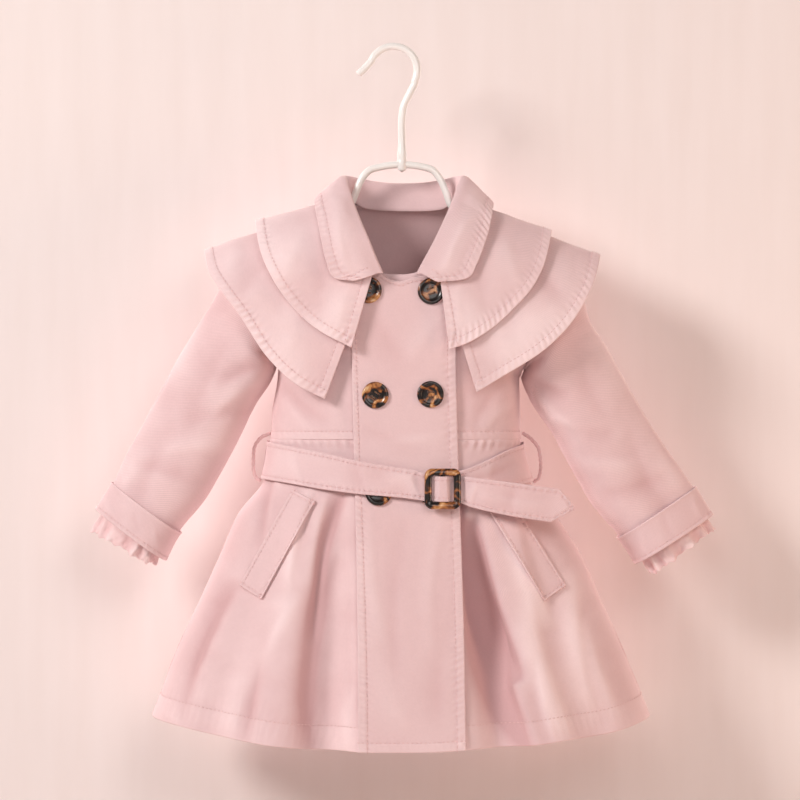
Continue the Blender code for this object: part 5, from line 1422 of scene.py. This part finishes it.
def coated_wire():
    material, tree, principled = shader("white_coating", Roughness=0.28, Coat_Weight=0.5, Coat_Roughness=0.12)
    place = link(tree, "ShaderNodeTexCoord").outputs["Object"]
    runs = link(tree, "ShaderNodeTexNoise", {"Vector": place, "Scale": 90.0, "Detail": 3.0}).outputs[0]
    colours = link(tree, "ShaderNodeMix", {"Factor": runs}, data_type="RGBA")
    colours.inputs["A"].default_value = (0.84, 0.80, 0.77, 1)
    colours.inputs["B"].default_value = (0.93, 0.91, 0.89, 1)
    tree.links.new(colours.outputs["Result"], principled.inputs["Base Color"])
    dips = link(tree, "ShaderNodeBump", {"Strength": 0.25, "Distance": 0.0006, "Height": runs})
    tree.links.new(dips.outputs[0], principled.inputs["Normal"])
    return material


def thread(name, colour):
    material, tree, principled = shader(name, Roughness=0.7, Sheen_Weight=0.3)
    place = link(tree, "ShaderNodeTexCoord").outputs["Object"]
    fibres = link(tree, "ShaderNodeTexNoise", {"Vector": place, "Scale": 900.0, "Detail": 2.0}).outputs[0]
    shade = link(tree, "ShaderNodeMix", {"Factor": fibres}, data_type="RGBA")
    shade.inputs["A"].default_value = (*[c * 0.78 for c in colour], 1)
    shade.inputs["B"].default_value = (*[min(c * 1.12, 1) for c in colour], 1)
    tree.links.new(shade.outputs["Result"], principled.inputs["Base Color"])
    return material


def wall_paint():
    """Pale painted wall with faint upright brush marks, seen from its front side only."""
    material, tree, principled = shader("pale_wall", Roughness=0.9)
    place = link(tree, "ShaderNodeTexCoord").outputs["Object"]
    drawn = link(tree, "ShaderNodeMapping", {"Vector": place})
    drawn.inputs["Scale"].default_value = (26.0, 26.0, 3.0)
    marks = link(tree, "ShaderNodeTexNoise", {"Vector": drawn.outputs[0], "Scale": 2.0, "Detail": 5.0}).outputs[0]
    tint = link(tree, "ShaderNodeMix", {"Factor": marks}, data_type="RGBA")
    tint.inputs["A"].default_value = WALL_DEEP
    tint.inputs["B"].default_value = WALL_PALE
    tree.links.new(tint.outputs["Result"], principled.inputs["Base Color"])
    brushed = link(tree, "ShaderNodeBump", {"Strength": 0.12, "Distance": 0.001, "Height": marks})
    tree.links.new(brushed.outputs[0], principled.inputs["Normal"])
    clear = link(tree, "ShaderNodeBsdfTransparent")
    behind = link(tree, "ShaderNodeNewGeometry").outputs["Backfacing"]
    choose = link(tree, "ShaderNodeMixShader", {0: behind, 1: principled.outputs[0], 2: clear.outputs[0]})
    tree.links.new(choose.outputs[0], tree.nodes["Material Output"].inputs["Surface"])
    return material


WALL_DEEP, WALL_PALE = (0.85, 0.755, 0.73, 1), (0.91, 0.83, 0.82, 1)
WALL_Y, FLOOR_Z, WALL_SPAN = 0.076, -1.1, 4.0


def plane(name, corners, look):
    mesh = bpy.data.meshes.new(name)
    mesh.from_pydata(corners, [], [(0, 1, 2, 3)])
    mesh.materials.append(look)
    thing = bpy.data.objects.new(name, mesh)
    bpy.context.scene.collection.objects.link(thing)
    return thing


def set_stage():
    s = WALL_SPAN
    wall = plane("wall", [(-s, WALL_Y, FLOOR_Z), (s, WALL_Y, FLOOR_Z), (s, WALL_Y, s), (-s, WALL_Y, s)], wall_paint())
    wall.visible_shadow = False
    floor_look, _, _ = shader("pale_floor", Roughness=0.9, Base_Color=(0.82, 0.72, 0.68, 1))
    plane("floor", [(-s, -s, FLOOR_Z), (s, -s, FLOOR_Z), (s, s, FLOOR_Z), (-s, s, FLOOR_Z)], floor_look)


def area_light(name, place, aim, size, power, colour):
    data = bpy.data.lights.new(name, "AREA")
    data.shape, data.size, data.energy, data.color = "DISK", size, power, colour
    thing = bpy.data.objects.new(name, data)
    thing.location = place
    thing.rotation_mode = "QUATERNION"
    thing.rotation_quaternion = (Vector(aim) - Vector(place)).to_track_quat("-Z", "Y")
    bpy.context.scene.collection.objects.link(thing)
    return thing


def light_the_coat():
    middle = (0.0, 0.0, -0.3)
    area_light("window", (-1.95, -1.6, 0.95), middle, 0.85, 52.0, (1.0, 0.965, 0.94))
    area_light("room", (0.85, -2.2, 0.8), middle, 1.1, 9.0, (1.0, 0.93, 0.90))
    area_light("at_the_neck", (0.06, -0.8, -0.06), (0.006, 0.0, -0.17), 0.3, 0.75, (1.0, 0.94, 0.91))
    area_light("warm_side", (1.3, -0.5, -0.25), (0.15, 0.0, -0.3), 0.5, 4.5, (1.0, 0.66, 0.47))
    area_light("behind_left", (-1.2, 1.9, 0.5), middle, 1.4, 34.0, (1.0, 0.96, 0.94))
    area_light("behind_right", (1.5, 1.6, -0.1), middle, 1.2, 16.0, (1.0, 0.95, 0.92))
    world = bpy.data.worlds.new("room_air")
    world.use_nodes = True
    world.node_tree.nodes["Background"].inputs[0].default_value = (1.0, 0.93, 0.90, 1)
    world.node_tree.nodes["Background"].inputs[1].default_value = 0.16
    bpy.context.scene.world = world


def place_camera():
    bpy.context.scene.view_settings.view_transform = "Standard"
    data = bpy.data.cameras.new("camera")
    distance, half_field = 2500.0, 320.0
    data.sensor_width = 36.0
    data.lens = data.sensor_width / 2 * distance / half_field
    camera = bpy.data.objects.new("camera", data)
    camera.location = (0.0052, -distance / 1000, -0.28)
    camera.rotation_euler = (math.pi / 2, 0.0, 0.0)
    bpy.context.scene.collection.objects.link(camera)
    bpy.context.scene.camera = camera


def main():
    weave, relief_shade = twill_weave_group(), painted_relief_shade_group()
    # Deep shows where the relief is low as painted shade and pale where it is high as painted highlight, both also
    # varied by the uneven dye.
    twill = cotton("pink_cotton_twill", (0.67, 0.42, 0.43), (0.95, 0.75, 0.76), weave, relief_shade)
    frill = cotton("crinkled_pale_cotton", (0.80, 0.50, 0.51), (0.95, 0.76, 0.76), weave, relief_shade, 0.8, 0.2, 0.4)
    topstitch = thread("pink_topstitch_thread", (0.83, 0.56, 0.56))
    shell, white = tortoiseshell(), coated_wire()
    make_bodice(twill)
    make_front_panels(twill)
    make_skirt(twill)
    make_capes(twill)
    make_collar(twill)
    make_sleeves(twill)
    make_frills(frill)
    make_belt(twill)
    make_pockets(twill)
    make_loops(topstitch)
    make_hanger(white)
    make_buckle(shell)
    make_buttons(shell, thread("button_thread", (0.16, 0.07, 0.03)))
    sew_threads(topstitch)
    set_stage()
    light_the_coat()
    place_camera()
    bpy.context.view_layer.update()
    for cut in CUTS:
        print("cut", *cut)


main()
